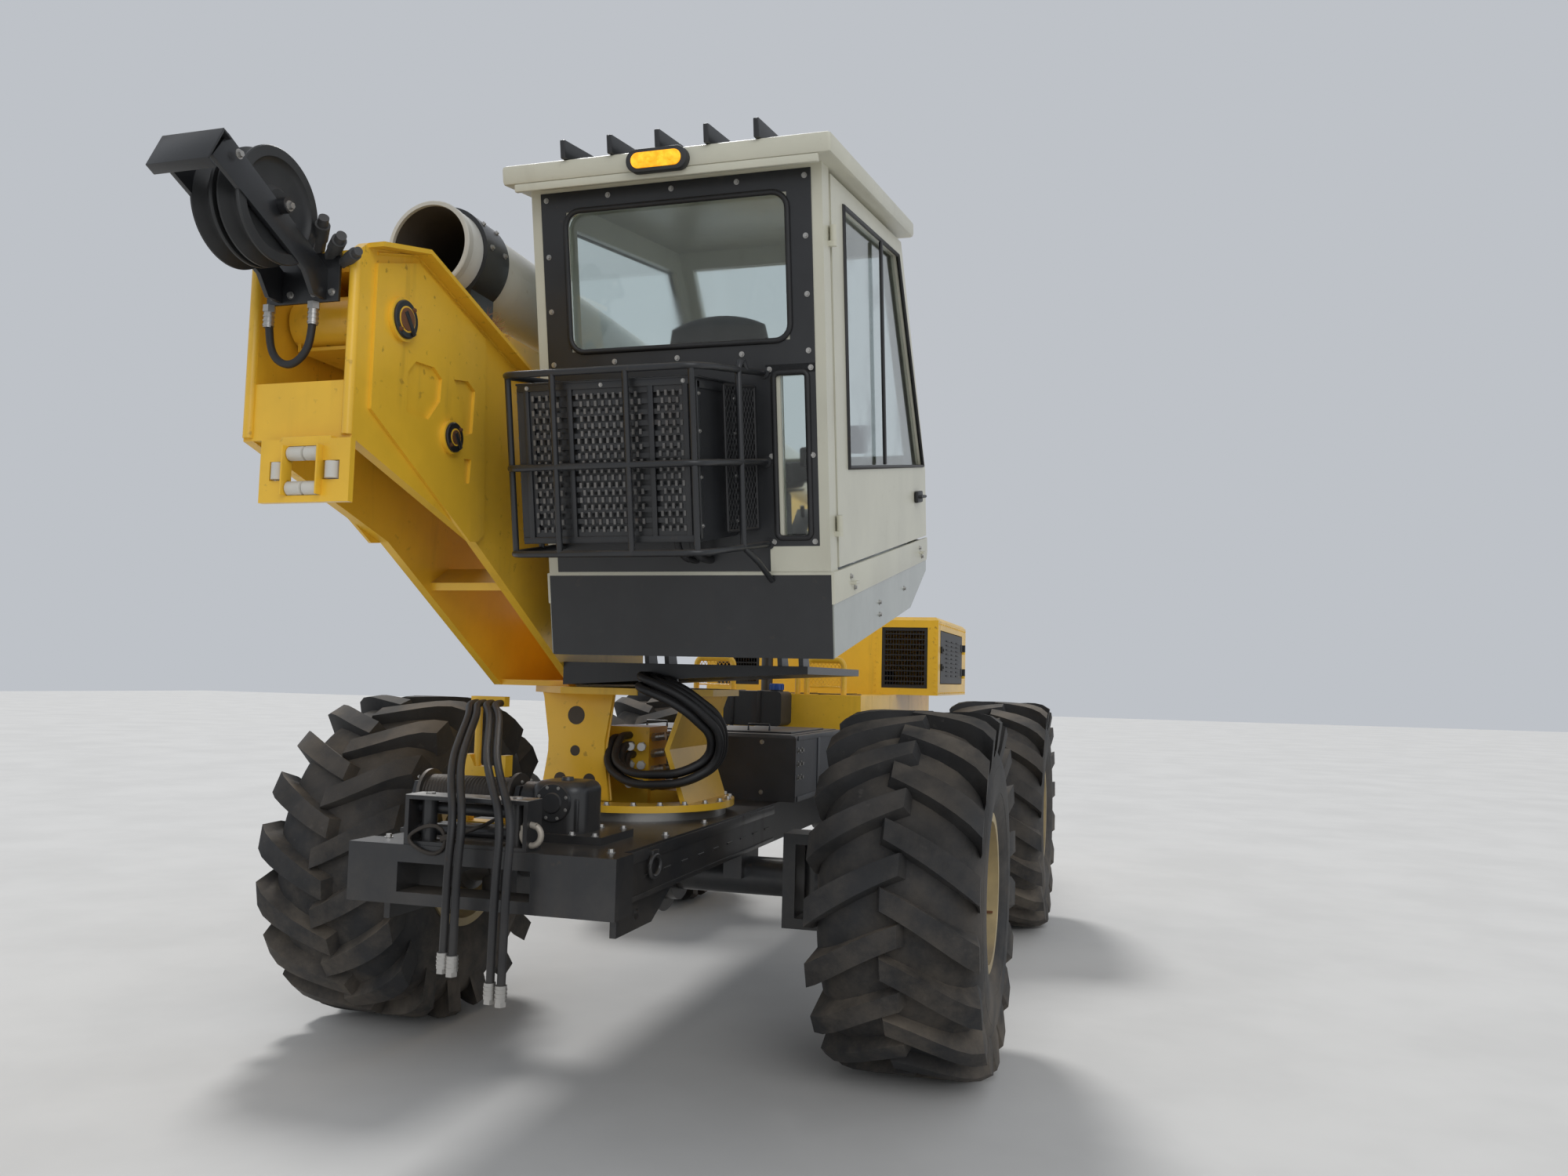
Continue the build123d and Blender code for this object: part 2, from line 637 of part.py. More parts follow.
# Saw arm and blade, folded back under the tube's tip
collar_length = 260
with BuildPart() as saw_head:
    with BuildSketch(across(saw_pivot_y + collar_length / 2)):
        with Locations((boom_x, tube_axis_z)):
            Circle(tube_diameter / 2 + 16)
        with Locations((boom_x, (tube_axis_z + saw_pivot_z) / 2)):
            Rectangle(110, tube_axis_z - saw_pivot_z)
        with Locations((boom_x, saw_pivot_z)):
            Rectangle(110, 150)
        with Locations((boom_x, tube_axis_z)):
            Circle(tube_diameter / 2 + seat_gap, mode=Mode.SUBTRACT)
    extrude(amount=collar_length)
    bar_x(boom_x - 100, boom_x, saw_pivot_y, saw_pivot_z, 60)
save(saw_head, "saw_head")

arm_x = boom_x - 55 - run_gap
with BuildPart() as saw_arm:
    with BuildSketch(along(arm_x)):
        with BuildLine():
            Polyline((saw_pivot_y + 75, saw_pivot_z - 75), (saw_pivot_y + 75, saw_pivot_z + 75),
                     (saw_pivot_y - saw_arm_length, saw_pivot_z + 50),
                     (saw_pivot_y - saw_arm_length, saw_pivot_z - 50), close=True)
        make_face()
    extrude(amount=-80)
    bar_x(boom_x - 240, boom_x, saw_pivot_y, saw_pivot_z, 60 + 2 * seat_gap, mode=Mode.SUBTRACT)
    bar_x(arm_x - 70, saw_plane_x - 20, saw_pivot_y - saw_arm_length + 60, saw_pivot_z, 46)
    bar_x(arm_x, arm_x + 40, saw_pivot_y - saw_arm_length + 60, saw_pivot_z, 90)
save(saw_arm, "saw_arm")

with BuildPart() as saw_blade:
    with BuildSketch(along(saw_plane_x)):
        with Locations((saw_pivot_y - saw_arm_length + 60, saw_pivot_z)):
            Circle(saw_blade_diameter / 2)
            Circle(23 + seat_gap, mode=Mode.SUBTRACT)
    extrude(amount=3, both=True)
save(saw_blade, "saw_blade")

# Cab. Its own frame starts at the hinge line, with y forwards and z up the tilted rear face.
cab_place = Location((cab_x, cab_hinge_y, cab_hinge_z), (cab_tilt, 0, 0))
half_cab = cab_width / 2


def cab_level(z):
    return placed(cab_place, level(z))


def cab_across(y):
    return placed(cab_place, across(y))


def cab_along(x):
    return placed(cab_place, along(x))


with BuildPart() as cab_base:
    with BuildSketch(cab_along(0)):
        with BuildLine():
            Polyline((0, 0), (cab_length - 500, 0), (cab_length, 150), (cab_length, cab_base_height),
                     (0, cab_base_height), close=True)
        make_face()
    extrude(amount=half_cab, both=True)
    with BuildSketch(cab_level(-50)):
        with Locations((0, 820)):
            Rectangle(cab_width - 60, 1500)
    extrude(amount=cab_base_height + 20, mode=Mode.SUBTRACT)
    for lug_x in (-cab_lug_x, cab_lug_x):
        with BuildSketch(cab_along(lug_x)):
            with BuildLine():
                Polyline((cab_pin_ahead - 80, cab_base_height - 20), (cab_pin_ahead - 42, cab_pin_up),
                         (cab_pin_ahead + 42, cab_pin_up), (cab_pin_ahead + 80, cab_base_height - 20), close=True)
            make_face()
            with Locations((cab_pin_ahead, cab_pin_up)):
                Circle(42)
                Circle(cab_pin_diameter / 2 + seat_gap, mode=Mode.SUBTRACT)
        extrude(amount=30, both=True)
save(cab_base, "cab_base")

# Hinge line of the door on the right, shared by the rear post and the door
post_end = 104
door_pin_x = half_cab + 18
door_pin_y = 85
hinge_pin_radius = 6
cab_hinge_heights = (480, 1560)

# Rear wall with its window and the low window beside the cooling unit
with BuildPart() as cab_rear:
    with BuildSketch(cab_across(0)):
        with Locations((0, (cab_base_height + cab_wall_top) / 2)):
            Rectangle(cab_width, cab_wall_top - cab_base_height - 2 * seat_gap)
        with Locations((5, 1467)):
            RectangleRounded(890, 535, 60, mode=Mode.SUBTRACT)
        with Locations((480, 770)):
            Rectangle(150, 600, mode=Mode.SUBTRACT)
    extrude(amount=-cab_skin)
    with BuildSketch(cab_level(cab_base_height + seat_gap)):
        with Locations((half_cab - cab_skin / 2, (cab_skin + post_end) / 2)):
            Rectangle(cab_skin, post_end - cab_skin)
    extrude(amount=cab_wall_top - cab_base_height - 2 * seat_gap)
    for z in cab_hinge_heights:
        with BuildSketch(cab_level(z - 20)):
            with Locations(((half_cab - 5 + door_pin_x) / 2, door_pin_y)):
                Rectangle(door_pin_x - half_cab + 5, 26)
            with Locations((door_pin_x, door_pin_y)):
                Circle(13)
        extrude(amount=20)
        with BuildSketch(cab_level(z - 20)):
            with Locations((door_pin_x, door_pin_y)):
                Circle(hinge_pin_radius)
        extrude(amount=80)
save(cab_rear, "cab_rear")

side_bottom = cab_base_height + seat_gap
side_profile = [(cab_skin + seat_gap, side_bottom), (cab_length, side_bottom), (cab_length, cab_waist),
                (cab_roof_length, cab_wall_top - seat_gap), (cab_skin + seat_gap, cab_wall_top - seat_gap)]
with BuildPart() as cab_left:
    with BuildSketch(cab_along(-half_cab)):
        with BuildLine():
            Polyline(*side_profile, close=True)
        make_face()
        with BuildLine():
            Polyline((300, 720), (cab_length - 90, 720), (cab_roof_length - 90, cab_wall_top - 100),
                     (300, cab_wall_top - 100), close=True)
        make_face(mode=Mode.SUBTRACT)
    extrude(amount=cab_skin)
save(cab_left, "cab_left")

# Front frame between the side walls, upright to the waist and then leaning back
front_half = half_cab - cab_skin - seat_gap
screen_width = 2 * front_half - 110
with BuildPart() as cab_front:
    with BuildSketch(cab_along(0)):
        with BuildLine():
            Polyline((cab_length, side_bottom), (cab_length, cab_waist), (cab_roof_length, cab_wall_top - seat_gap),
                     (cab_roof_length - 60, cab_wall_top - seat_gap), (cab_length - 60, cab_waist - 15),
                     (cab_length - 60, side_bottom), close=True)
        make_face()
    extrude(amount=front_half, both=True)
    with BuildSketch(cab_across(cab_length + 50)):
        with Locations((0, (cab_waist + cab_wall_top) / 2)):
            Rectangle(screen_width, cab_wall_top - cab_waist - 160)
        with Locations((0, (side_bottom + cab_waist) / 2)):
            Rectangle(screen_width, cab_waist - side_bottom - 110)
    extrude(amount=cab_length - cab_roof_length + 200, mode=Mode.SUBTRACT)
save(cab_front, "cab_front")

# Roof with its rain edge and five bars along it
with BuildPart() as cab_roof:
    with BuildSketch(cab_level(cab_wall_top)):
        with Locations((0, (cab_roof_length - roof_rear_overhang + 40) / 2)):
            Rectangle(cab_width + 2 * roof_overhang, cab_roof_length + roof_rear_overhang + 40)
    extrude(amount=roof_height - 40)
    for bar in range(5):
        with BuildSketch(cab_level(cab_wall_top + roof_height - 40)):
            with Locations((-380 + bar * 190, (cab_roof_length - roof_rear_overhang - 90) / 2)):
                Rectangle(22, cab_roof_length + roof_rear_overhang - 90)
        extrude(amount=70)
save(cab_roof, "cab_roof")

screen_low = cab_waist + 80 + seat_gap
screen_high = cab_wall_top - 80 - seat_gap


def screen_y(z):
    """How far forward the windscreen's inner face stands at height z."""
    return cab_length - 33 - (z - cab_waist) * (cab_length - cab_roof_length) / (cab_wall_top - cab_waist)


with BuildPart() as cab_glass:
    with BuildSketch(cab_across(18)):
        with Locations((5, 1467)):
            RectangleRounded(889, 534, 60)
        with Locations((480, 770)):
            Rectangle(149, 599)
    extrude(amount=-pane)
    with BuildSketch(cab_along(-half_cab + 18)):
        with BuildLine():
            Polyline((300.5, 720.5), (cab_length - 91, 720.5), (cab_roof_length - 91, cab_wall_top - 100.5),
                     (300.5, cab_wall_top - 100.5), close=True)
        make_face()
    extrude(amount=pane)
    with BuildSketch(cab_along(0)):
        with BuildLine():
            Polyline((screen_y(screen_low), screen_low), (screen_y(screen_high), screen_high),
                     (screen_y(screen_high) + pane, screen_high), (screen_y(screen_low) + pane, screen_low), close=True)
        make_face()
    extrude(amount=screen_width / 2 - seat_gap, both=True)
    with BuildSketch(cab_across(cab_length - 27)):
        with Locations((0, (side_bottom + cab_waist) / 2)):
            Rectangle(screen_width - 2 * seat_gap, cab_waist - side_bottom - 110 - 2 * seat_gap)
    extrude(amount=pane)
save(cab_glass, "cab_glass")

with BuildPart() as seat:
    with BuildSketch(cab_level(cab_base_height + seat_gap)):
        with Locations((0, 760)):
            RectangleRounded(360, 420, 30)
    extrude(amount=300)
    with BuildSketch(cab_level(cab_base_height + 300)):
        with Locations((0, 790)):
            RectangleRounded(500, 520, 60)
    extrude(amount=120)
    with BuildSketch(cab_across(540)):
        with Locations((0, cab_base_height + 720)):
            RectangleRounded(470, 660, 130)
    extrude(amount=110)
save(seat, "seat")

# Cooling unit on the cab's rear and the round-bar cage about it
unit_x0, unit_x1 = -460, 220
unit_z0, unit_z1 = 475, 1046
unit_depth = 415
with BuildPart() as cooling_unit:
    with BuildSketch(cab_across(-seat_gap)):
        with Locations(((unit_x0 + unit_x1) / 2, (unit_z0 + unit_z1) / 2)):
            Rectangle(unit_x1 - unit_x0, unit_z1 - unit_z0)
    extrude(amount=unit_depth)
    with BuildSketch(cab_across(-unit_depth - seat_gap)):
        for row in range(13):
            with Locations(((unit_x0 + unit_x1) / 2, unit_z0 + 60 + row * 38)):
                Rectangle(unit_x1 - unit_x0 - 120, 20)
    extrude(amount=-14, mode=Mode.SUBTRACT)
save(cooling_unit, "cooling_unit")

cage_half = 508
cage_front = -460
cage_bar = 25
cage_rails = (440, 750, 1082)
with BuildPart() as unit_cage:
    for rail_z in cage_rails:
        with BuildLine(cab_level(rail_z)) as rail:
            FilletPolyline((-cage_half, -seat_gap), (-cage_half, cage_front), (cage_half, cage_front),
                           (cage_half, -seat_gap), radius=70)
        with BuildSketch(Plane(origin=rail.line @ 0, z_dir=rail.line % 0)):
            Circle(cage_bar / 2)
        sweep()
    with BuildSketch(cab_level(cage_rails[0])):
        for bar_place in (-425, -270, 0, 200, 425):
            with Locations((bar_place, cage_front)):
                Circle(cage_bar / 2 - 2)
    extrude(amount=cage_rails[-1] - cage_rails[0])
save(unit_cage, "unit_cage")

with BuildPart() as rear_lamp:
    with BuildSketch(cab_across(-roof_rear_overhang - seat_gap)):
        with Locations((0, cab_wall_top + 30)):
            SlotOverall(240, 84)
    extrude(amount=40)
save(rear_lamp, "rear_lamp")

# Door on the right side, its glass with it
door_gap = 5
door_start = post_end + 8
door_profile = [(door_start, side_bottom + 20), (cab_length, side_bottom + 20), (cab_length, cab_waist),
                (cab_roof_length + 12, cab_wall_top - 20), (door_start, cab_wall_top - 20)]
door_hole = [(300, 720), (cab_length - 90, 720), (cab_roof_length - 90, cab_wall_top - 100), (300, cab_wall_top - 100)]
with BuildPart() as cab_door:
    with BuildSketch(cab_along(half_cab - cab_skin + door_gap)):
        with BuildLine():
            Polyline(*door_profile, close=True)
        make_face()
        with BuildLine():
            Polyline(*door_hole, close=True)
        make_face(mode=Mode.SUBTRACT)
    extrude(amount=cab_skin)
    for z in cab_hinge_heights:
        with BuildSketch(cab_level(z + seat_gap)):
            with Locations((half_cab + door_gap + 2.5, door_pin_y + 45)):
                Rectangle(6, 90)
            with Locations((door_pin_x, door_pin_y)):
                Circle(13)
                Circle(hinge_pin_radius + seat_gap, mode=Mode.SUBTRACT)
        extrude(amount=58)
save(cab_door, "cab_door")

with BuildPart() as door_glass:
    with BuildSketch(cab_along(half_cab - cab_skin + door_gap + 18)):
        with BuildLine():
            Polyline((300.5, 720.5), (cab_length - 91, 720.5), (cab_roof_length - 91, cab_wall_top - 100.5),
                     (300.5, cab_wall_top - 100.5), close=True)
        make_face()
    extrude(amount=pane)
save(door_glass, "door_glass")

# Tapered carrier under the cab, bolted to the fork's right plate, with ears for the cab's hinge pins
carrier_rear_y = winch_axle_y - 720
carrier_length = 970
carrier_top_z = 1800
carrier_x0 = boom_x + fork_width / 2 + seat_gap
hose_plate_x = 290
with BuildPart() as cab_carrier:
    with BuildSketch(across(carrier_rear_y + carrier_length)):
        with BuildLine():
            Polyline((carrier_x0, 1700), (520, 1745), (960, 1768), (960, carrier_top_z), (carrier_x0, carrier_top_z),
                     close=True)
        make_face()
    extrude(amount=carrier_length)
    block(hose_plate_x, carrier_rear_y + 8, 1660, 180, 16, 120)
    for lug_x in (-cab_lug_x, cab_lug_x):
        for ear_x in (cab_x + lug_x - 30 - run_gap - 20, cab_x + lug_x + 30 + run_gap):
            with BuildSketch(along(ear_x)):
                with BuildLine():
                    Polyline((carrier_rear_y + 5, carrier_top_z - 10), (cab_pin_y + 110, carrier_top_z - 10),
                             (cab_pin_y + 34, cab_pin_z + 10), (cab_pin_y + 14, cab_pin_z + 34),
                             (cab_pin_y - 14, cab_pin_z + 34), (cab_pin_y - 34, cab_pin_z + 10), close=True)
                make_face()
            extrude(amount=20)
        bar_x(cab_x + lug_x - 60, cab_x + lug_x + 60, cab_pin_y, cab_pin_z, cab_pin_diameter)
save(cab_carrier, "cab_carrier")

# Hydraulic hoses looping from under the cab out to the right and back to the manifold.
# Each row is a point of the loop's middle: x, y behind the winch axle, z.
hose_diameter = 34
hose_pitch = 45
loop_x, loop_z = 250, 1480
hose_loop = ((hose_plate_x, -720 - seat_gap, 1718), (hose_plate_x, -815, 1718), (430, -785, 1660), (535, -610, 1530),
             (500, -525, 1380), (370, -600, 1300), (150, -595, 1285), (20, -530, 1330), (0, -445, 1420),
             (0, -360 - seat_gap, 1420))
middle = [Vector(x, winch_axle_y + y, z) for x, y, z in hose_loop]
with BuildPart() as hose_bundle:
    for row in (-1, 0, 1):
        for layer in (-0.5, 0.5):
            points = []
            for i, spot in enumerate(middle):
                ahead = (middle[min(i + 1, len(middle) - 1)] - middle[max(i - 1, 0)]).normalized()
                outward = Vector(spot.X - loop_x, 0, spot.Z - loop_z)
                outward = (outward - ahead * outward.dot(ahead)).normalized()
                points.append(spot + ahead.cross(outward) * (row * hose_pitch) + outward * (layer * hose_pitch))
            points[1] = Vector(points[0].X, middle[1].Y - row * hose_pitch, points[0].Z)
            points[-2] = Vector(points[-1].X, points[-2].Y, points[-1].Z)
            points = [tuple(point) for point in points]
            with BuildLine() as hose_path:
                FilletPolyline(*points, radius=easy_bends(points))
            with BuildSketch(Plane(origin=hose_path.line @ 0, z_dir=hose_path.line % 0)):
                Circle(hose_diameter / 2)
            sweep()
save(hose_bundle, "hose_bundle")

# Engine compartment over the far axle
bay_width = 1180
bay_start_y = winch_axle_y + 1980
bay_end_y = frame_end_y - 60
tall_hood_length = 1510
low_hood_end_y = bay_end_y - tall_hood_length
bay_length = bay_end_y - low_hood_end_y
bay_mid_y = (low_hood_end_y + bay_end_y) / 2
low_hood_z = 1650
tall_hood_z = 2227
tall_width = 1800
panel = 30
hatch_mid_y = low_hood_end_y + 690
hatch_length = 1180
hatch_low = 1735
hatch_height = 400
hatch_pin_x = tall_width / 2 + 15
hatch_pin_y = hatch_mid_y + hatch_length / 2 + 16
hatch_hinge_heights = (hatch_low + 70, hatch_low + 270)
grille_x = 649
grille_width = 344
grille_low_z = 1700
grille_height = 450
with BuildPart() as engine_bay:
    block(0, (bay_start_y + bay_end_y) / 2, deck_z, bay_width, bay_end_y - bay_start_y, low_hood_z - deck_z)
    block(0, bay_mid_y, low_hood_z, tall_width, bay_length, tall_hood_z - low_hood_z)
    block(0, bay_mid_y, low_hood_z + panel, tall_width - 2 * panel, bay_length - 2 * panel,
          tall_hood_z - low_hood_z - 2 * panel, mode=Mode.SUBTRACT)
    block(0, bay_mid_y, deck_z - 1, bay_width - 2 * panel, bay_length - 2 * panel, low_hood_z + panel - deck_z + 2,
          mode=Mode.SUBTRACT)
    block(0, (bay_start_y + low_hood_end_y) / 2, deck_z - 1, bay_width - 2 * panel,
          low_hood_end_y - bay_start_y - 2 * panel, low_hood_z - deck_z + 1 - panel, mode=Mode.SUBTRACT)
    block(0, hatch_mid_y, hatch_low, tall_width + 10, hatch_length, hatch_height, mode=Mode.SUBTRACT)
    for side in (-1, 1):
        block(side * grille_x, low_hood_end_y, grille_low_z, grille_width, 2 * panel + 10, grille_height, mode=Mode.SUBTRACT)
    chamfer(engine_bay.faces().sort_by(Axis.Z)[-1].outer_wire().edges(), 24)
    for side in (-1, 1):
        for z in hatch_hinge_heights:
            with BuildSketch(level(z - 20)):
                with Locations((side * (tall_width / 2 - 3 + hatch_pin_x) / 2, hatch_pin_y)):
                    Rectangle(hatch_pin_x - tall_width / 2 + 3, 26)
                with Locations((side * hatch_pin_x, hatch_pin_y)):
                    Circle(13)
            extrude(amount=20)
            with BuildSketch(level(z - 20)):
                with Locations((side * hatch_pin_x, hatch_pin_y)):
                    Circle(hinge_pin_radius)
            extrude(amount=80)
save(engine_bay, "engine_bay")

# Slatted screens in the tall part's near face
with BuildPart() as engine_grilles:
    for side in (-1, 1):
        grille_low = grille_low_z + seat_gap
        grille_high = grille_low_z + grille_height - seat_gap
        with BuildSketch(across(low_hood_end_y + 22)):
            with Locations((side * grille_x, (grille_low + grille_high) / 2)):
                Rectangle(grille_width - 2 * seat_gap, grille_high - grille_low)
                Rectangle(grille_width - 50, grille_high - grille_low - 50, mode=Mode.SUBTRACT)
            for slat in range(10):
                with Locations((side * grille_x, grille_low + 50 + slat * 39)):
                    Rectangle(grille_width - 40, 9)
        extrude(amount=14)
save(engine_grilles, "engine_grilles")

for hand, side in (("left", -1), ("right", 1)):
    with BuildPart() as engine_door:
        block(side * (tall_width / 2 + 2 - panel / 2), hatch_mid_y, hatch_low + run_gap, panel,
              hatch_length - 2 * run_gap, hatch_height - 2 * run_gap)
        for z in hatch_hinge_heights:
            with BuildSketch(level(z + seat_gap)):
                with Locations((side * (tall_width / 2 + 4.5), hatch_pin_y - 50)):
                    Rectangle(6, 100)
                with Locations((side * hatch_pin_x, hatch_pin_y)):
                    Circle(13)
                    Circle(hinge_pin_radius + seat_gap, mode=Mode.SUBTRACT)
            extrude(amount=58)
    save(engine_door, f"engine_door_{hand}")

with BuildPart() as engine_block:
    block(0, low_hood_end_y + 640, deck_z, 700, 1050, 720)
save(engine_block, "engine_block")

with BuildPart() as fuel_tank:
    with BuildSketch(across(bay_start_y - seat_gap)):
        with Locations((-66, 1556)):
            RectangleRounded(386, 220, 30)
    extrude(amount=240)
    with Locations((60, bay_start_y - 120, 1660)):
        Cylinder(42, 46, align=(Align.CENTER, Align.CENTER, Align.MIN))
save(fuel_tank, "fuel_tank")

with BuildPart() as handrails:
    for x0, x1 in ((-560, -300), (213, 461)):
        with BuildLine() as rail_path:
            FilletPolyline((x0, bay_start_y + 60, low_hood_z + seat_gap), (x0, bay_start_y + 60, 1880),
                           (x1, bay_start_y + 60, 1880), (x1, bay_start_y + 60, low_hood_z + seat_gap), radius=50)
        with BuildSketch(Plane(origin=rail_path.line @ 0, z_dir=rail_path.line % 0)):
            Circle(19)
        sweep()
    with Locations((150, bay_start_y + 60, low_hood_z + seat_gap)):
        Cylinder(18, 180, align=(Align.CENTER, Align.CENTER, Align.MIN))
save(handrails, "handrails")

# Stand on the deck behind the winch: a saddle on two legs, a rod and the block that holds the hoses
stand_x = -362
stand_y = winch_axle_y - 985
stand_saddle_z = 1310
stand_block_z = 1602
stand_block_depth = 40
with BuildPart() as hose_stand:
    block(stand_x, stand_y, deck_z, 240, 90, 12)
    for leg_x in (stand_x - 80, stand_x + 80):
        block(leg_x, stand_y, deck_z, 20, 50, stand_saddle_z - deck_z + 30)
    with BuildSketch(across(stand_y + 30)):
        with BuildLine():
            Polyline((stand_x - 100, stand_saddle_z), (stand_x + 100, stand_saddle_z), (stand_x + 100, stand_saddle_z + 88),
                     (stand_x + 70, stand_saddle_z + 88), (stand_x + 45, stand_saddle_z + 40),
                     (stand_x - 45, stand_saddle_z + 40), (stand_x - 70, stand_saddle_z + 88),
                     (stand_x - 100, stand_saddle_z + 88), close=True)
        make_face()
    extrude(amount=60)
    with Locations((stand_x - 50, stand_y, stand_saddle_z + 20)):
        Cylinder(15, stand_block_z - stand_saddle_z, align=(Align.CENTER, Align.CENTER, Align.MIN))
    block(stand_x, stand_y, stand_block_z, 160, stand_block_depth, 42)
save(hose_stand, "hose_stand")

# Cut hoses left hanging over the winch end. Each row is a point's y and z; every hose has its own x values.
free_hose_diameter = 30
hose_route = ((-1005, 1621), (-1070, 1616), (-1180, 1575), (-1340, 1505), (-1510, 1422), (-1640, 1345),
              (-1735, 1230), (-1752, 1060), (-1745, 880), (-1750, 700))
hose_tracks = (("free_hose_1", -415, -59, 0), ("free_hose_2", -380, -22, -8), ("free_hose_3", -344, 130, -86),
               ("free_hose_4", -302, 173, -92))
for name, x_start, x_end, drop in hose_tracks:
    points = [(x_start + (x_end - x_start) * max(0, min(1, (i - 1) / 5)) + 5 * sin(1.3 * i) * min(1, i / 2),
               winch_axle_y + y, z + drop * max(0, i - 6) / 3)
              for i, (y, z) in enumerate(hose_route)]
    points[0] = (points[1][0], stand_y - stand_block_depth / 2, points[1][2])
    with BuildPart() as free_hose:
        with BuildLine() as route:
            FilletPolyline(*points, radius=easy_bends(points))
        with BuildSketch(Plane(origin=route.line @ 0, z_dir=route.line % 0)):
            Circle(free_hose_diameter / 2)
        sweep()
    save(free_hose, name)
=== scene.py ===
import json
import math
import random

import bmesh
import bpy
from mathutils import Matrix, Vector


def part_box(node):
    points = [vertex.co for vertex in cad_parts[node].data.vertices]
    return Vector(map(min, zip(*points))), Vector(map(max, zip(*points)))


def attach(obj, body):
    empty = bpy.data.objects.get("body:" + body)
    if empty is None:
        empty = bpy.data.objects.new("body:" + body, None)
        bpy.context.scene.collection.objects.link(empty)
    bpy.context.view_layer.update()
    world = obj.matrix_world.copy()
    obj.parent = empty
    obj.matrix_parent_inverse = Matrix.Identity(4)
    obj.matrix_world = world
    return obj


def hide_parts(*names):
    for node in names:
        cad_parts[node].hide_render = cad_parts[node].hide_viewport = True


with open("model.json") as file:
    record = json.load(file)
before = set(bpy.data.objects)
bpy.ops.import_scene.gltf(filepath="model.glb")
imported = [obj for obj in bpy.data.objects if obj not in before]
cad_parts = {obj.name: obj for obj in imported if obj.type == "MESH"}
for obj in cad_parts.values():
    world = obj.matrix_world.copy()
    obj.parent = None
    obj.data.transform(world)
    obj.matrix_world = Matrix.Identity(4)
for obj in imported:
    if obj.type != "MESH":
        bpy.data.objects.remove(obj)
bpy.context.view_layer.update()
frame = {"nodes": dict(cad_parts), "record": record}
nodes = frame["nodes"]
scene = bpy.context.scene
random.seed(12)
print("frame loaded,", len(nodes), "nodes")

# Places that several pieces share, in metres, read from the frame's joints and boxes
joints = {joint["name"]: joint for joint in frame["record"]["behaviour"]["joints"]}


def jointAt(name):
    return Vector(joints[name]["pos_m"])


def corners(node):
    # Low and high corner of a node's box
    return [Vector(corner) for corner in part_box(node)]


winchY = jointAt("spin_winch_right").y
boomX = jointAt("boom_lift").x
deckZ = jointAt("turret_slew").z
slewY = jointAt("turret_slew").y
cabTilt = -math.radians(joints["cab_tilt"]["range_deg"][0])
# The cab's own frame has its origin low at the middle of the rear wall, 0.42 m behind the hinge pin
cabPlace = (Matrix.Translation(jointAt("cab_tilt")) @ Matrix.Rotation(cabTilt, 4, "X")
            @ Matrix.Translation((0, -0.420, -0.060)))


# Node groups for what several finishes share

def startGroup(name, inputs, outputs):
    group = bpy.data.node_groups.new(name, "ShaderNodeTree")
    for socketName, kind, value in inputs:
        socket = group.interface.new_socket(socketName, in_out="INPUT", socket_type=kind)
        socket.default_value = value
    for socketName, kind in outputs:
        group.interface.new_socket(socketName, in_out="OUTPUT", socket_type=kind)
    start = group.nodes.new("NodeGroupInput")
    end = group.nodes.new("NodeGroupOutput")
    return group, start, end


def addNode(tree, kind, **settings):
    node = tree.nodes.new(kind)
    for key, value in settings.items():
        setattr(node, key, value)
    return node


def rampBetween(tree, source, low, high):
    node = addNode(tree, "ShaderNodeMapRange")
    node.interpolation_type = "SMOOTHSTEP"
    node.inputs["From Min"].default_value = low
    node.inputs["From Max"].default_value = high
    tree.links.new(source, node.inputs["Value"])
    return node.outputs["Result"]


def combine(tree, a, b, operation="MULTIPLY"):
    # One clamped Math node between two values or sockets
    node = addNode(tree, "ShaderNodeMath", operation=operation, use_clamp=True)
    for socket, value in zip(node.inputs, (a, b)):
        if hasattr(value, "is_linked"):
            tree.links.new(value, socket)
        else:
            socket.default_value = value
    return node.outputs[0]


def noiseAt(tree, scale, detail=6.0, roughness=0.6, vector=None):
    coords = vector or addNode(tree, "ShaderNodeTexCoord").outputs["Object"]
    node = addNode(tree, "ShaderNodeTexNoise")
    node.inputs["Scale"].default_value = scale
    node.inputs["Detail"].default_value = detail
    node.inputs["Roughness"].default_value = roughness
    tree.links.new(coords, node.inputs["Vector"])
    return node.outputs["Fac"]


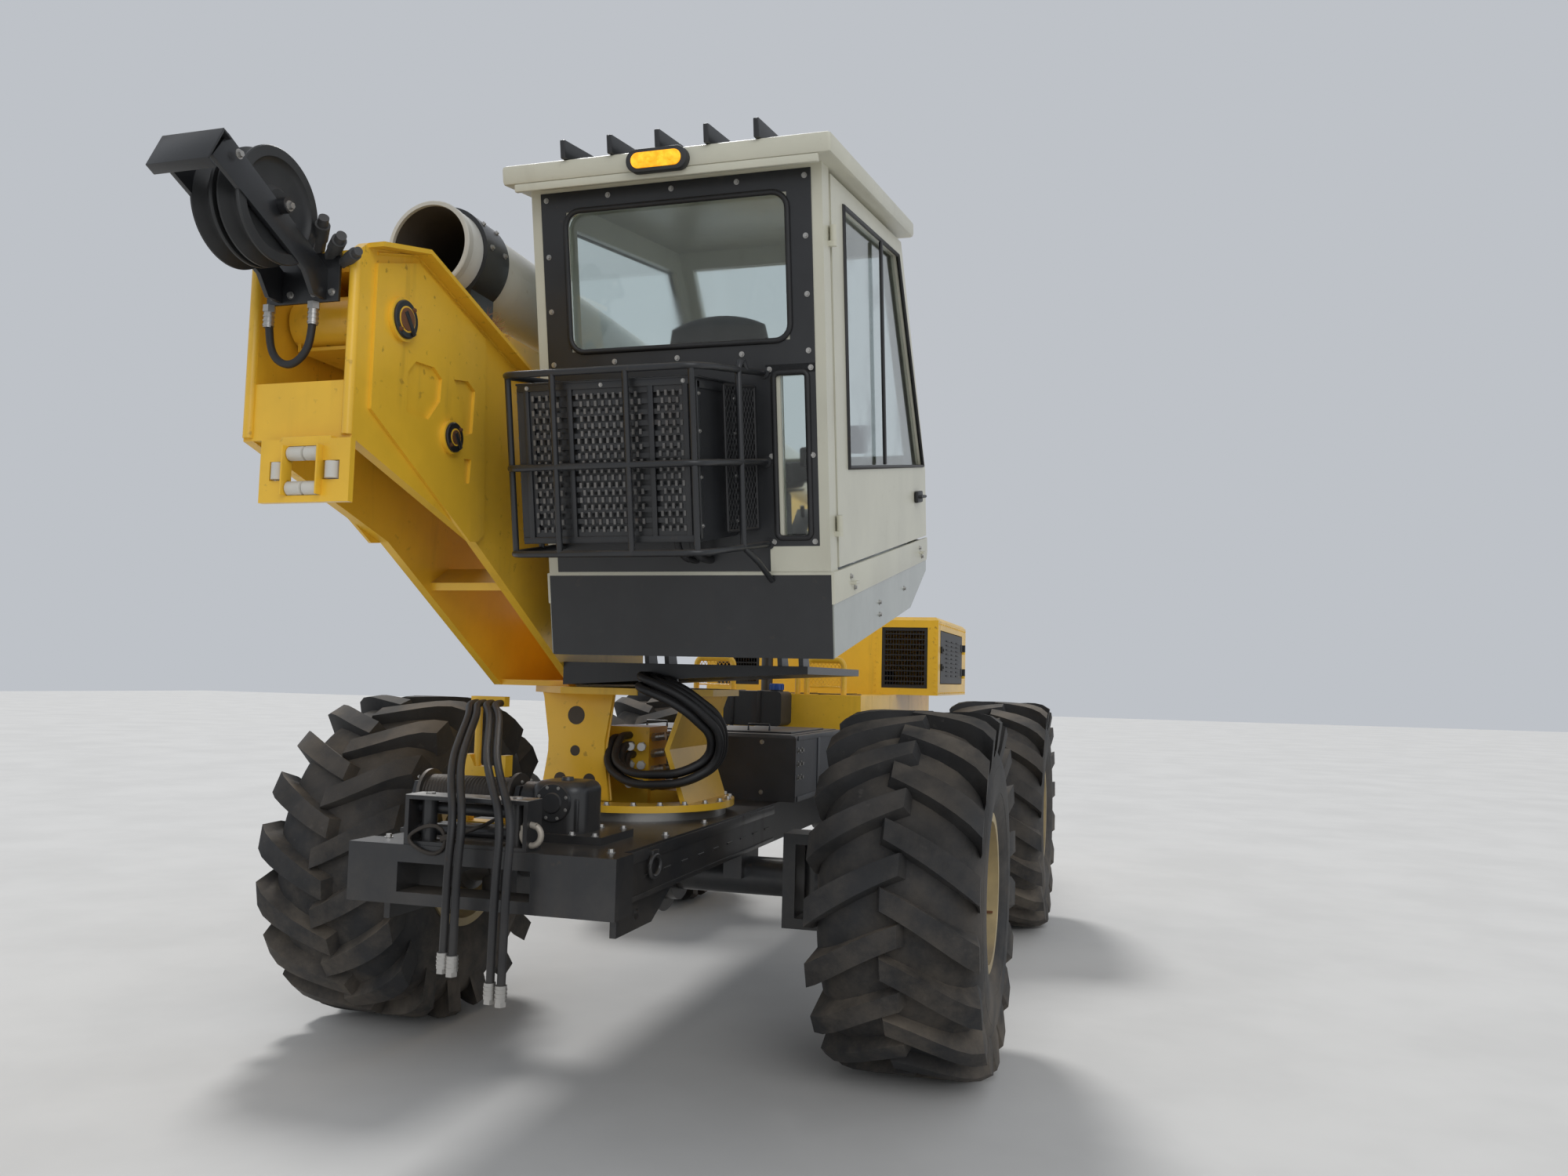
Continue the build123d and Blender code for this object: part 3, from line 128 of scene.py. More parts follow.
def dustGroup():
    # Dust that lies on upward faces and, in patches, low on the machine
    group, start, end = startGroup(
        "dust",
        [("Color", "NodeSocketColor", (0.5, 0.5, 0.5, 1)), ("Top", "NodeSocketFloat", 0.4),
         ("Low", "NodeSocketFloat", 0.3), ("Low Height", "NodeSocketFloat", 1.2)],
        [("Color", "NodeSocketColor"), ("Mask", "NodeSocketFloat")])
    normal = addNode(group, "ShaderNodeNewGeometry").outputs["Normal"]
    position = addNode(group, "ShaderNodeTexCoord").outputs["Object"]
    normalXyz = addNode(group, "ShaderNodeSeparateXYZ")
    group.links.new(normal, normalXyz.inputs[0])
    placeXyz = addNode(group, "ShaderNodeSeparateXYZ")
    group.links.new(position, placeXyz.inputs[0])
    facingUp = rampBetween(group, normalXyz.outputs["Z"], 0.35, 0.95)
    top = combine(group, combine(group, facingUp, start.outputs["Top"]),
                  rampBetween(group, noiseAt(group, 3.0), 0.3, 0.75))
    height = addNode(group, "ShaderNodeMath", operation="DIVIDE")
    group.links.new(placeXyz.outputs["Z"], height.inputs[0])
    group.links.new(start.outputs["Low Height"], height.inputs[1])
    near = combine(group, 1.0, height.outputs[0], "SUBTRACT")
    low = combine(group, combine(group, near, start.outputs["Low"]),
                  rampBetween(group, noiseAt(group, 2.2, 8.0, 0.7), 0.35, 0.7))
    mask = combine(group, top, low, "ADD")
    mix = addNode(group, "ShaderNodeMix", data_type="RGBA")
    group.links.new(mask, mix.inputs["Factor"])
    group.links.new(start.outputs["Color"], mix.inputs["A"])
    mix.inputs["B"].default_value = (0.23, 0.19, 0.145, 1)
    group.links.new(mix.outputs["Result"], end.inputs["Color"])
    group.links.new(mask, end.inputs["Mask"])
    return group


def stainGroup():
    # Streaks that run down from edges, and small spots, for rust, oil and weather
    group, start, end = startGroup(
        "stains",
        [("Color", "NodeSocketColor", (0.5, 0.5, 0.5, 1)), ("Stain", "NodeSocketColor", (0.1, 0.05, 0.02, 1)),
         ("Streaks", "NodeSocketFloat", 0.3), ("Spots", "NodeSocketFloat", 0.3)],
        [("Color", "NodeSocketColor"), ("Mask", "NodeSocketFloat")])
    position = addNode(group, "ShaderNodeTexCoord").outputs["Object"]
    stretch = addNode(group, "ShaderNodeMapping")
    stretch.inputs["Scale"].default_value = (9, 9, 0.8)
    group.links.new(position, stretch.inputs["Vector"])
    streaks = rampBetween(group, noiseAt(group, 1.0, 5.0, 0.6, stretch.outputs[0]), 0.52, 0.8)
    patches = rampBetween(group, noiseAt(group, 1.3, 3.0), 0.4, 0.65)
    streakMask = combine(group, combine(group, streaks, patches), start.outputs["Streaks"])
    spots = rampBetween(group, noiseAt(group, 28.0, 3.0, 0.5), 0.64, 0.74)
    spotMask = combine(group, combine(group, spots, patches), start.outputs["Spots"])
    mask = combine(group, streakMask, spotMask, "ADD")
    mix = addNode(group, "ShaderNodeMix", data_type="RGBA")
    group.links.new(mask, mix.inputs["Factor"])
    group.links.new(start.outputs["Color"], mix.inputs["A"])
    group.links.new(start.outputs["Stain"], mix.inputs["B"])
    group.links.new(mix.outputs["Result"], end.inputs["Color"])
    group.links.new(mask, end.inputs["Mask"])
    return group


dust = dustGroup()
stains = stainGroup()


def useGroup(tree, group, values, links=()):
    node = addNode(tree, "ShaderNodeGroup")
    node.node_tree = group
    for key, value in values.items():
        node.inputs[key].default_value = value
    for key, source in links:
        tree.links.new(source, node.inputs[key])
    return node


def blankMaterial(name):
    material = bpy.data.materials.new(name)
    material.use_nodes = True
    shader = material.node_tree.nodes["Principled BSDF"]
    return material, material.node_tree, shader


def variedColour(tree, colour, amount, scale):
    # The colour, a little lighter and darker from place to place
    mix = addNode(tree, "ShaderNodeMix", data_type="RGBA")
    tree.links.new(rampBetween(tree, noiseAt(tree, scale, 4.0), 0.3, 0.7), mix.inputs["Factor"])
    mix.inputs["A"].default_value = (*[c * (1 - amount) for c in colour], 1)
    mix.inputs["B"].default_value = (*[min(1, c * (1 + amount)) for c in colour], 1)
    return mix.outputs["Result"]


def bumpFrom(tree, shader, height, strength, distance):
    bump = addNode(tree, "ShaderNodeBump")
    bump.inputs["Strength"].default_value = strength
    bump.inputs["Distance"].default_value = distance
    tree.links.new(height, bump.inputs["Height"])
    tree.links.new(bump.outputs["Normal"], shader.inputs["Normal"])


def paint(name, colour, roughness=0.4, metallic=0.0, vary=0.06, stain=(0.09, 0.045, 0.02), streaks=0.3,
          spots=0.3, top=0.4, low=0.3, lowHeight=1.4, bump=0.12, bumpScale=60.0, coat=0.0):
    material, tree, shader = blankMaterial(name)
    base = variedColour(tree, colour, vary, 2.5)
    stained = useGroup(tree, stains, {"Stain": (*stain, 1), "Streaks": streaks, "Spots": spots},
                       [("Color", base)])
    dusty = useGroup(tree, dust, {"Top": top, "Low": low, "Low Height": lowHeight},
                     [("Color", stained.outputs["Color"])])
    tree.links.new(dusty.outputs["Color"], shader.inputs["Base Color"])
    worn = combine(tree, dusty.outputs["Mask"], stained.outputs["Mask"], "MAXIMUM")
    rough = addNode(tree, "ShaderNodeMapRange")
    rough.inputs["To Min"].default_value = roughness
    rough.inputs["To Max"].default_value = min(1.0, roughness + 0.4)
    tree.links.new(worn, rough.inputs["Value"])
    tree.links.new(rough.outputs["Result"], shader.inputs["Roughness"])
    shader.inputs["Metallic"].default_value = metallic
    if coat:
        shader.inputs["Coat Weight"].default_value = coat
        shader.inputs["Coat Roughness"].default_value = 0.2
    bumpFrom(tree, shader, noiseAt(tree, bumpScale, 3.0), bump, 0.002)
    return material


def clearGlass(name, tint, roughness=0.03):
    material, tree, shader = blankMaterial(name)
    shader.inputs["Base Color"].default_value = (*tint, 1)
    shader.inputs["Transmission Weight"].default_value = 1.0
    shader.inputs["IOR"].default_value = 1.45
    smear = addNode(tree, "ShaderNodeMapRange")
    smear.inputs["To Min"].default_value = roughness
    smear.inputs["To Max"].default_value = roughness + 0.1
    tree.links.new(rampBetween(tree, noiseAt(tree, 3.0), 0.45, 0.8), smear.inputs["Value"])
    tree.links.new(smear.outputs["Result"], shader.inputs["Roughness"])
    return material


def fabric(name, colour, weave=500.0):
    material, tree, shader = blankMaterial(name)
    tree.links.new(variedColour(tree, colour, 0.25, 9.0), shader.inputs["Base Color"])
    shader.inputs["Roughness"].default_value = 0.95
    shader.inputs["Sheen Weight"].default_value = 0.3
    coords = addNode(tree, "ShaderNodeTexCoord").outputs["Object"]
    threads = addNode(tree, "ShaderNodeTexVoronoi")
    threads.inputs["Scale"].default_value = weave
    tree.links.new(coords, threads.inputs["Vector"])
    bumpFrom(tree, shader, threads.outputs["Distance"], 0.4, 0.001)
    return material


def rubber(name, colour, dustTop=0.6, dustLow=0.55, lowHeight=1.7, roughness=0.82):
    return paint(name, colour, roughness, vary=0.35, stain=(0.085, 0.08, 0.075), streaks=0.35, spots=0.5,
                 top=dustTop, low=dustLow, lowHeight=lowHeight, bump=0.35, bumpScale=160.0)


finishes = {
    "yellow_paint": paint("yellowPaint", (0.86, 0.51, 0.035), 0.36, vary=0.07, stain=(0.16, 0.07, 0.015),
                          streaks=0.45, spots=0.55, top=0.35, low=0.2, coat=0.25),
    "black_paint": paint("blackPaint", (0.016, 0.017, 0.019), 0.38, vary=0.25, stain=(0.06, 0.045, 0.035),
                         streaks=0.35, spots=0.5, top=0.35, low=0.35, coat=0.2),
    "grey_steel": paint("greyBox", (0.045, 0.048, 0.055), 0.45, vary=0.2, stain=(0.09, 0.05, 0.03), top=0.45),
    "rope_steel": paint("ropeSteel", (0.12, 0.11, 0.10), 0.5, metallic=0.8, vary=0.3,
                        stain=(0.12, 0.05, 0.02), streaks=0.5, spots=0.6),
    "bare_steel": paint("bareSteel", (0.42, 0.41, 0.39), 0.34, metallic=0.9, vary=0.15,
                        stain=(0.16, 0.07, 0.03), streaks=0.4, spots=0.5),
    "black_plastic": paint("blackPlastic", (0.028, 0.029, 0.031), 0.55, vary=0.2, top=0.3, low=0.2, bump=0.2),
    "white_fibreglass": paint("whiteFibreglass", (0.66, 0.65, 0.60), 0.35, vary=0.05,
                              stain=(0.24, 0.15, 0.07), streaks=0.5, spots=0.35, top=0.25, low=0.0),
    "ivory_paint": paint("ivoryPaint", (0.60, 0.585, 0.475), 0.4, vary=0.04, stain=(0.22, 0.16, 0.09),
                         streaks=0.25, spots=0.2, top=0.3, low=0.1, coat=0.15),
    "cab_glass": clearGlass("cabGlass", (0.86, 0.92, 0.91)),
    "seat_fabric": fabric("seatFabric", (0.035, 0.034, 0.035)),
    "black_rubber": paint("hoseRubber", (0.016, 0.016, 0.017), 0.5, vary=0.3, top=0.25, low=0.2, bump=0.3,
                          bumpScale=300.0),
    "mesh_steel": paint("meshSteel", (0.02, 0.02, 0.021), 0.5, vary=0.2, top=0.3, low=0.2),
    "cast_iron": paint("castIron", (0.06, 0.06, 0.06), 0.6, vary=0.3, stain=(0.1, 0.05, 0.025), spots=0.6,
                       bump=0.4, bumpScale=120.0),
    "tyre_rubber": rubber("tyreRubber", (0.024, 0.0245, 0.026)),
    "rusty_rim": paint("wornRim", (0.42, 0.33, 0.17), 0.55, vary=0.2, stain=(0.11, 0.045, 0.018), streaks=0.9,
                       spots=0.9, top=0.5, low=0.5, lowHeight=1.6, bump=0.3),
}


def amberLens():
    material, tree, shader = blankMaterial("amberLens")
    shader.inputs["Base Color"].default_value = (0.85, 0.33, 0.01, 1)
    shader.inputs["Roughness"].default_value = 0.2
    glow = rampBetween(tree, noiseAt(tree, 40.0, 2.0), 0.2, 0.8)
    mix = addNode(tree, "ShaderNodeMix", data_type="RGBA")
    tree.links.new(glow, mix.inputs["Factor"])
    mix.inputs["A"].default_value = (0.7, 0.25, 0.0, 1)
    mix.inputs["B"].default_value = (1.0, 0.55, 0.03, 1)
    tree.links.new(mix.outputs["Result"], shader.inputs["Emission Color"])
    shader.inputs["Emission Strength"].default_value = 1.0
    return material


finishes["amber_lens"] = amberLens()
finishes.update({
    "skirt": paint("skirtPaint", (0.36, 0.38, 0.34), 0.25, vary=0.08, streaks=0.3, spots=0.3, low=0.1,
                   coat=0.4),
    "needles": paint("dryNeedles", (0.28, 0.12, 0.05), 0.8, vary=0.4),
    "pin": paint("rustyPin", (0.17, 0.075, 0.035), 0.65, metallic=0.3, vary=0.4, stain=(0.07, 0.03, 0.015),
                 spots=0.8),
    "zinc": paint("zincBolt", (0.45, 0.44, 0.42), 0.35, metallic=0.85, vary=0.1, spots=0.2, streaks=0.1),
    "nylon": paint("nylonRoller", (0.62, 0.60, 0.54), 0.5, vary=0.08, stain=(0.25, 0.18, 0.1), streaks=0.4),
    "sheave": paint("wornSheave", (0.035, 0.036, 0.037), 0.5, metallic=0.2, vary=0.3,
                    stain=(0.12, 0.10, 0.08), streaks=0.6, spots=0.6),
    "rim": paint("tubeRim", (0.55, 0.53, 0.47), 0.45, vary=0.1, stain=(0.2, 0.12, 0.06), streaks=0.6,
                 spots=0.6),
    # Dark brown that paints the shade inside the tube's mouth and in the plate's holes
    "hole_shade": paint("paintedHoleShade", (0.055, 0.045, 0.035), 0.7, vary=0.3, stain=(0.12, 0.08, 0.05),
                    streaks=0.5),
    "rope": paint("woundRope", (0.055, 0.048, 0.042), 0.55, metallic=0.6, vary=0.4, stain=(0.12, 0.06, 0.03),
                  spots=0.9, bump=0.5, bumpScale=220.0),
    "fins": paint("unitFins", (0.16, 0.155, 0.15), 0.45, metallic=0.6, vary=0.3, spots=0.5),
    "blueCap": paint("blueCap", (0.02, 0.08, 0.32), 0.4, vary=0.15, top=0.3),
    "hook": paint("paleHook", (0.42, 0.38, 0.32), 0.5, metallic=0.4, vary=0.2, spots=0.5),
})
# The record's slot that each further finish stands for
slotOf = {"skirt": "ivory_paint", "nylon": "black_plastic", "sheave": "black_paint", "rim": "white_fibreglass",
          "hole_shade": "black_plastic", "rope": "rope_steel", "blueCap": "black_plastic",
          **dict.fromkeys(("needles", "pin", "zinc", "fins", "hook"), "bare_steel")}
for subpart in frame["record"]["subparts"]:
    node = nodes[subpart["node"]]
    node.data.materials.clear()
    node.data.materials.append(finishes[subpart["material_slot"]])
print("finishes made,", len(finishes))


# Modelling helpers, each adding to a bmesh

def turnTo(direction):
    return Vector((0, 0, 1)).rotation_difference(Vector(direction)).to_matrix().to_4x4()


def addBox(bm, centre, size, bevel=0.0, turn=None):
    made = bmesh.ops.create_cube(bm, size=1.0)["verts"]
    bmesh.ops.scale(bm, vec=size, verts=made)
    if bevel:
        edges = {edge for vert in made for edge in vert.link_edges}
        rounded = bmesh.ops.bevel(bm, geom=list(edges), offset=bevel, offset_type="OFFSET", affect="EDGES",
                                  segments=2, profile=0.5, material=-1)["verts"]
        made = list({v for face in {f for v in rounded for f in v.link_faces} for v in face.verts})
    place = Matrix.Translation(centre) @ (turn.to_4x4() if turn else Matrix())
    bmesh.ops.transform(bm, matrix=place, verts=made)


def addBar(bm, start, end, radius, segments=16, radius2=None, caps=True):
    start, end = Vector(start), Vector(end)
    made = bmesh.ops.create_cone(bm, cap_ends=caps, segments=segments, radius1=radius,
                                 radius2=radius if radius2 is None else radius2,
                                 depth=(end - start).length)["verts"]
    bmesh.ops.transform(bm, matrix=Matrix.Translation((start + end) / 2) @ turnTo(end - start), verts=made)


def addBolt(bm, place, direction, size=0.016):
    # Hexagon head on a washer
    direction = Vector(direction).normalized()
    place = Vector(place)
    addBar(bm, place, place + direction * size * 0.15, size * 0.75, 16)
    addBar(bm, place + direction * size * 0.15, place + direction * size * 0.65, size * 0.52, 6, size * 0.48)


def addBolts(bm, places, direction, size):
    for place in places:
        addBolt(bm, place, direction, size)


def finishPiece(name, bm, body, finish, smooth=35, replaced=()):
    mesh = bpy.data.meshes.new(name)
    if body in ("cab", "cab_door"):  # modelled in the cab's own frame
        bmesh.ops.transform(bm, matrix=cabPlace, verts=bm.verts)
    bmesh.ops.recalc_face_normals(bm, faces=bm.faces)
    bm.to_mesh(mesh)
    bm.free()
    piece = bpy.data.objects.new(name, mesh)
    scene.collection.objects.link(piece)
    mesh.materials.append(finishes[finish])
    if smooth:
        mesh.shade_smooth()
        mesh.set_sharp_from_angle(angle=math.radians(smooth))
    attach(piece, body)
    if replaced:
        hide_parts(*replaced)
    return piece


def addTube(bm, points, radius, sides=10, closed=False):
    # Rings of a tube along the points, bridged one to the next
    rings = []
    count = len(points)
    for i, point in enumerate(points):
        before = points[i - 1] if closed or i else point
        after = points[(i + 1) % count] if closed or i < count - 1 else point
        made = bmesh.ops.create_circle(bm, cap_ends=False, radius=radius, segments=sides)["verts"]
        place = Matrix.Translation(point) @ turnTo(Vector(after) - Vector(before))
        bmesh.ops.transform(bm, matrix=place, verts=made)
        rings.append(list({edge for vert in made for edge in vert.link_edges}))
    pairs = list(zip(rings, rings[1:] + rings[:1])) if closed else list(zip(rings, rings[1:]))
    for first, second in pairs:
        bmesh.ops.bridge_loops(bm, edges=first + second)
    if not closed:
        bmesh.ops.holes_fill(bm, edges=rings[0] + rings[-1], sides=0)


def joinMesh(bm, part, name):
    # Adds a part that was shaped in a bmesh of its own
    shape = bpy.data.meshes.new(name)
    part.to_mesh(shape)
    part.free()
    bm.from_mesh(shape)
    bpy.data.meshes.remove(shape)


def spinProfile(bm, points, centre, axis, steps, closed=True):
    verts = [bm.verts.new(point) for point in points]
    edges = [bm.edges.new(pair) for pair in zip(verts, verts[1:] + (verts[:1] if closed else []))]
    bmesh.ops.spin(bm, geom=edges + verts, cent=centre, axis=axis, angle=math.radians(360), steps=steps,
                   use_merge=True, use_duplicate=False)


def around(count, radius, first=0.0, axis="X"):
    # Even offsets round an axis, the first at so many degrees
    turns = [math.radians(first + i * 360 / count) for i in range(count)]
    ways = {"X": (0, 1, 2), "Y": (1, 0, 2), "Z": (2, 0, 1)}[axis]
    spots = []
    for turn in turns:
        spot = Vector()
        spot[ways[1]], spot[ways[2]] = math.cos(turn) * radius, math.sin(turn) * radius
        spots.append(spot)
    return spots


def addLattice(bm, foot, along, length, low, high, datum, slope, spacing, samples, radius):
    # Crossing wires of stretched metal on an upright face that runs from the foot
    for lean in (slope, -slope):
        for step in range(-20, 28):
            line = []
            for t in range(samples):
                z = low + (high - low) * t / (samples - 1)
                u = step * spacing + (z - datum) / lean
                if 0 <= u <= length:
                    line.append(foot + along * u + Vector((0, 0, z)))
            if len(line) > 1:
                addBar(bm, line[0], line[-1], radius, 4)


def addPlate(bm, outline, thickness, frameAt, bevel=0.0):
    # Flat plate from an outline in the plane's own two axes, thickened along its third
    face = bm.faces.new([bm.verts.new((u, v, 0)) for u, v in outline])
    grown = bmesh.ops.extrude_face_region(bm, geom=[face])["geom"]
    top = [item for item in grown if isinstance(item, bmesh.types.BMVert)]
    bmesh.ops.translate(bm, vec=(0, 0, thickness), verts=top)
    verts = list(face.verts) + top
    if bevel:
        edges = {edge for vert in top for edge in vert.link_edges if all(end in top for end in edge.verts)}
        made = bmesh.ops.bevel(bm, geom=list(edges), offset=bevel, offset_type="OFFSET", affect="EDGES",
                               segments=2, profile=0.5, material=-1)["verts"]
        verts = list({vert for vert in verts if vert.is_valid} | set(made))
    bmesh.ops.transform(bm, matrix=frameAt, verts=verts)


def sideFrame(x, side=1):
    # Plane along the machine at x: first axis +Y, second axis +Z, third outwards to the given side
    return Matrix(((0, 0, side, x), (1, 0, 0, 0), (0, 1, 0, 0), (0, 0, 0, 1)))


def endFrame(y, side=-1):
    # Plane across the machine at y: first axis +X, second axis +Z, third towards -Y or +Y
    return Matrix(((1, 0, 0, 0), (0, 0, side, y), (0, 1, 0, 0), (0, 0, 0, 1)))


def roundedLoop(width, height, radius, centre=(0, 0), steps=5):
    points = []
    for cx, cy, start in ((1, 1, 0), (-1, 1, 90), (-1, -1, 180), (1, -1, 270)):
        for i in range(steps + 1):
            a = math.radians(start + 90 * i / steps)
            points.append((centre[0] + cx * (width / 2 - radius) + math.cos(a) * radius,
                           centre[1] + cy * (height / 2 - radius) + math.sin(a) * radius))
    return points


def hoseCurve(name, routes, radius, body, bevelSteps=3, pathSteps=8):
    # Rubber hoses of one size as curves through their own route points
    curve = bpy.data.curves.new(name, "CURVE")
    curve.dimensions = "3D"
    curve.bevel_depth = radius
    curve.bevel_resolution = bevelSteps
    curve.resolution_u = pathSteps
    curve.use_fill_caps = True
    for route in routes:
        spline = curve.splines.new("NURBS")
        spline.points.add(len(route) - 1)
        for point, place in zip(spline.points, route):
            point.co = (*place, 1)
        spline.order_u = 3
        spline.use_endpoint_u = True
    piece = bpy.data.objects.new(name, curve)
    scene.collection.objects.link(piece)
    curve.materials.append(finishes["black_rubber"])
    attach(piece, body)
    return piece


def ferrules(name, ends, body, radius=0.016, length=0.055):
    # Crimped fittings at hose ends, each from its face outwards
    bm = bmesh.new()
    for place, direction in ends:
        place, direction = Vector(place), Vector(direction).normalized()
        addBar(bm, place, place + direction * length * 0.3, radius * 1.25, 6)
        addBar(bm, place + direction * length * 0.3, place + direction * length, radius, 14)
        for groove in (0.45, 0.65, 0.85):
            addBar(bm, place + direction * length * groove, place + direction * length * (groove + 0.08),
                   radius * 1.12, 14)
    return finishPiece(name, bm, body, "zinc")


# Cab, in its own frame: the rear panel with rubber round its glass, the roof with its bars, lamp, sill and door
cab = {
    "half": 0.585,
    "rearGlass": (0.005, 1.467, 0.890, 0.535),  # middle across, middle up, width, height
    "lowGlass": (0.4465, 0.770, 0.127, 0.613),
    "panelHalf": 0.544,
    "panelLow": 0.335,
    "panelTop": 1.812,
    "panelBoltX": (-0.52, 0.52),
    "panelBoltZ": (1.155, 1.36, 1.57, 1.785),
    "lowFrame": (0.350, 0.545, 0.430, 1.110),  # black round the low glass: left, right, bottom, top
    "roofLow": 1.830,
    "roofDepth": 0.075,
    "roofLength": 1.570,
    "roofRear": -0.114,
    "barX": [-0.380 + 0.190 * i for i in range(5)],
    "lampZ": 1.860,
    "skirt": [(0.005, 0.004), (1.62, 0.004), (2.11, 0.150), (2.11, 0.212), (0.005, 0.212)],
    "sill": [(0.0, 0.208), (2.11, 0.208), (2.14, 0.255), (2.14, 0.330), (0.0, 0.330)],
    "clampY": (0.302, 1.919),
    "sideWindow": [(0.300, 0.720), (2.060, 0.720), (1.440, 1.730), (0.300, 1.730)],
}


def makeRearPanel():
    gx, gz, gw, gh = cab["rearGlass"]
    lx, lz, lw, lh = cab["lowGlass"]
    half, low, top = cab["panelHalf"], cab["panelLow"], cab["panelTop"]
    left, right, bottom, brow = cab["lowFrame"]
    glassX, nearX = lx - lw / 2, lx + lw / 2
    black = ((-half, gx - gw / 2, gz - gh / 2, gz + gh / 2), (gx + gw / 2, half, gz - gh / 2, gz + gh / 2),
             (-half, half, gz + gh / 2, top), (-half, half, lz + lh / 2, gz - gh / 2),
             (-half, left, low, lz + lh / 2), (left, glassX, bottom, brow), (nearX, right, bottom, brow),
             (glassX, nearX, bottom, lz - lh / 2), (glassX, nearX, lz + lh / 2, brow))
    ivory = ((right, half + 0.041, low, brow), (left, right, low, bottom))
    for name, strips, finish in (("rear_panel", black, "black_paint"), ("rear_border", ivory, "ivory_paint")):
        bm = bmesh.new()
        for x0, x1, z0, z1 in strips:
            addBox(bm, ((x0 + x1) / 2, -0.002, (z0 + z1) / 2), (x1 - x0, 0.004, z1 - z0))
        finishPiece(name, bm, "cab", finish, 30)
    bm = bmesh.new()
    spots = [(x, z) for x in cab["panelBoltX"] for z in cab["panelBoltZ"]]
    spots += [(x, z) for x in (-0.26, 0.0, 0.26) for z in (cab["panelBoltZ"][-1], cab["panelBoltZ"][0])]
    spots += [(x, z) for x in (left + 0.016, right - 0.018) for z in (bottom + 0.017, lz, brow - 0.017)]
    addBolts(bm, [(x, -0.004, z) for x, z in spots], (0, -1, 0), 0.014)
    finishPiece("rear_bolts", bm, "cab", "zinc", 30)
    bm = bmesh.new()
    for (x, z, w, h), radius in ((cab["rearGlass"], 0.06), (cab["lowGlass"], 0.02)):
        loop = [(u, -0.006, v) for u, v in roundedLoop(w + 0.004, h + 0.004, radius, (x, z), 6)]
        addTube(bm, loop, 0.011, 8, closed=True)
    finishPiece("rear_seals", bm, "cab", "black_rubber", 60)


def makeRoof():
    bm = bmesh.new()
    y0, y1 = cab["roofRear"], cab["roofLength"]
    z0, z1 = cab["roofLow"], cab["roofLow"] + cab["roofDepth"]
    half = cab["half"] + 0.065
    addBox(bm, (0, (y0 + y1) / 2, (z0 + z1) / 2), (2 * half, y1 - y0, z1 - z0), 0.016)
    addBox(bm, (0, y0 + 0.016, z0 - 0.012), (2 * half - 0.10, 0.022, 0.030), 0.005)  # rain edge under the rear
    finishPiece("roof_shell", bm, "cab", "ivory_paint", 30, ("cab_roof",))
    bm = bmesh.new()
    for x in cab["barX"]:
        addBox(bm, (x, (y0 + y1 - 0.15) / 2, z1 + 0.032), (0.022, y1 - y0 - 0.12, 0.068), 0.004)
    for y in (y0 + 0.25, y1 - 0.35):
        addBox(bm, (0, y, z1 + 0.010), (0.86, 0.05, 0.020), 0.003)
    finishPiece("roof_bars", bm, "cab", "black_paint", 30)


def makeLamp():
    y, z = cab["roofRear"], cab["lampZ"]
    bm = bmesh.new()
    addPlate(bm, roundedLoop(0.240, 0.084, 0.0415, (0, z), 8), 0.036, endFrame(y), 0.006)
    finishPiece("lamp_body", bm, "cab", "black_plastic", 40, ("rear_lamp",))
    bm = bmesh.new()
    addPlate(bm, roundedLoop(0.196, 0.056, 0.0275, (0, z), 8), 0.008, endFrame(y - 0.034), 0.004)
    for x in (-0.06, -0.02, 0.02, 0.06):
        addBar(bm, (x, y - 0.038, z), (x, y - 0.0445, z), 0.017, 20, 0.010)
    finishPiece("lamp_lens", bm, "cab", "amber_lens", 40)


def makeCabSides():
    half, window = cab["half"], cab["sideWindow"]
    skirts, sills, bolts, seal, trim = (bmesh.new() for i in range(5))
    for side in (-1, 1):
        x = side * half
        addPlate(skirts, cab["skirt"], 0.006, sideFrame(x, side))
        addPlate(sills, cab["sill"], 0.012, sideFrame(x, side), 0.004)
        for y in cab["clampY"]:
            addTube(sills, [(x + side * out, y + dy, 0.262) for out, dy in
                            ((0.010, -0.030), (0.030, -0.030), (0.030, 0.030), (0.010, 0.030))], 0.006, 8)
            addBolts(bolts, [(x + side * 0.012, y + dy, z) for dy, z in ((-0.032, 0.290), (0.032, 0.240))],
                     (side, 0, 0), 0.016)
        addBolts(bolts, [(x + side * 0.006, y, z) for y, z in ((0.85, 0.120), (0.85, 0.065), (1.45, 0.120))],
                 (side, 0, 0), 0.016)
    finishPiece("skirts", skirts, "cab", "skirt", 30)
    finishPiece("sill_strips", sills, "cab", "ivory_paint", 30)
    finishPiece("sill_bolts", bolts, "cab", "zinc", 30)
    addTube(seal, [(-half - 0.002, y, z) for y, z in window], 0.010, 8, closed=True)
    finishPiece("left_seal", seal, "cab", "black_rubber", 60)
    x = half + 0.005
    addTube(trim, [(x + 0.002, y, z) for y, z in window], 0.010, 8, closed=True)
    addBox(trim, (x + 0.004, 1.02, 1.225), (0.014, 0.030, 0.990), 0.004)  # slider's meeting bar
    addBox(trim, (x + 0.012, 1.86, 0.560), (0.020, 0.150, 0.060), 0.006)  # handle and its grip
    grip = ((0, 1.80), (0.034, 1.80), (0.034, 1.94), (0, 1.94))
    addTube(trim, [(x + out, y, 0.560) for out, y in grip], 0.008, 8)
    finishPiece("door_trim", trim, "cab_door", "black_rubber", 50)


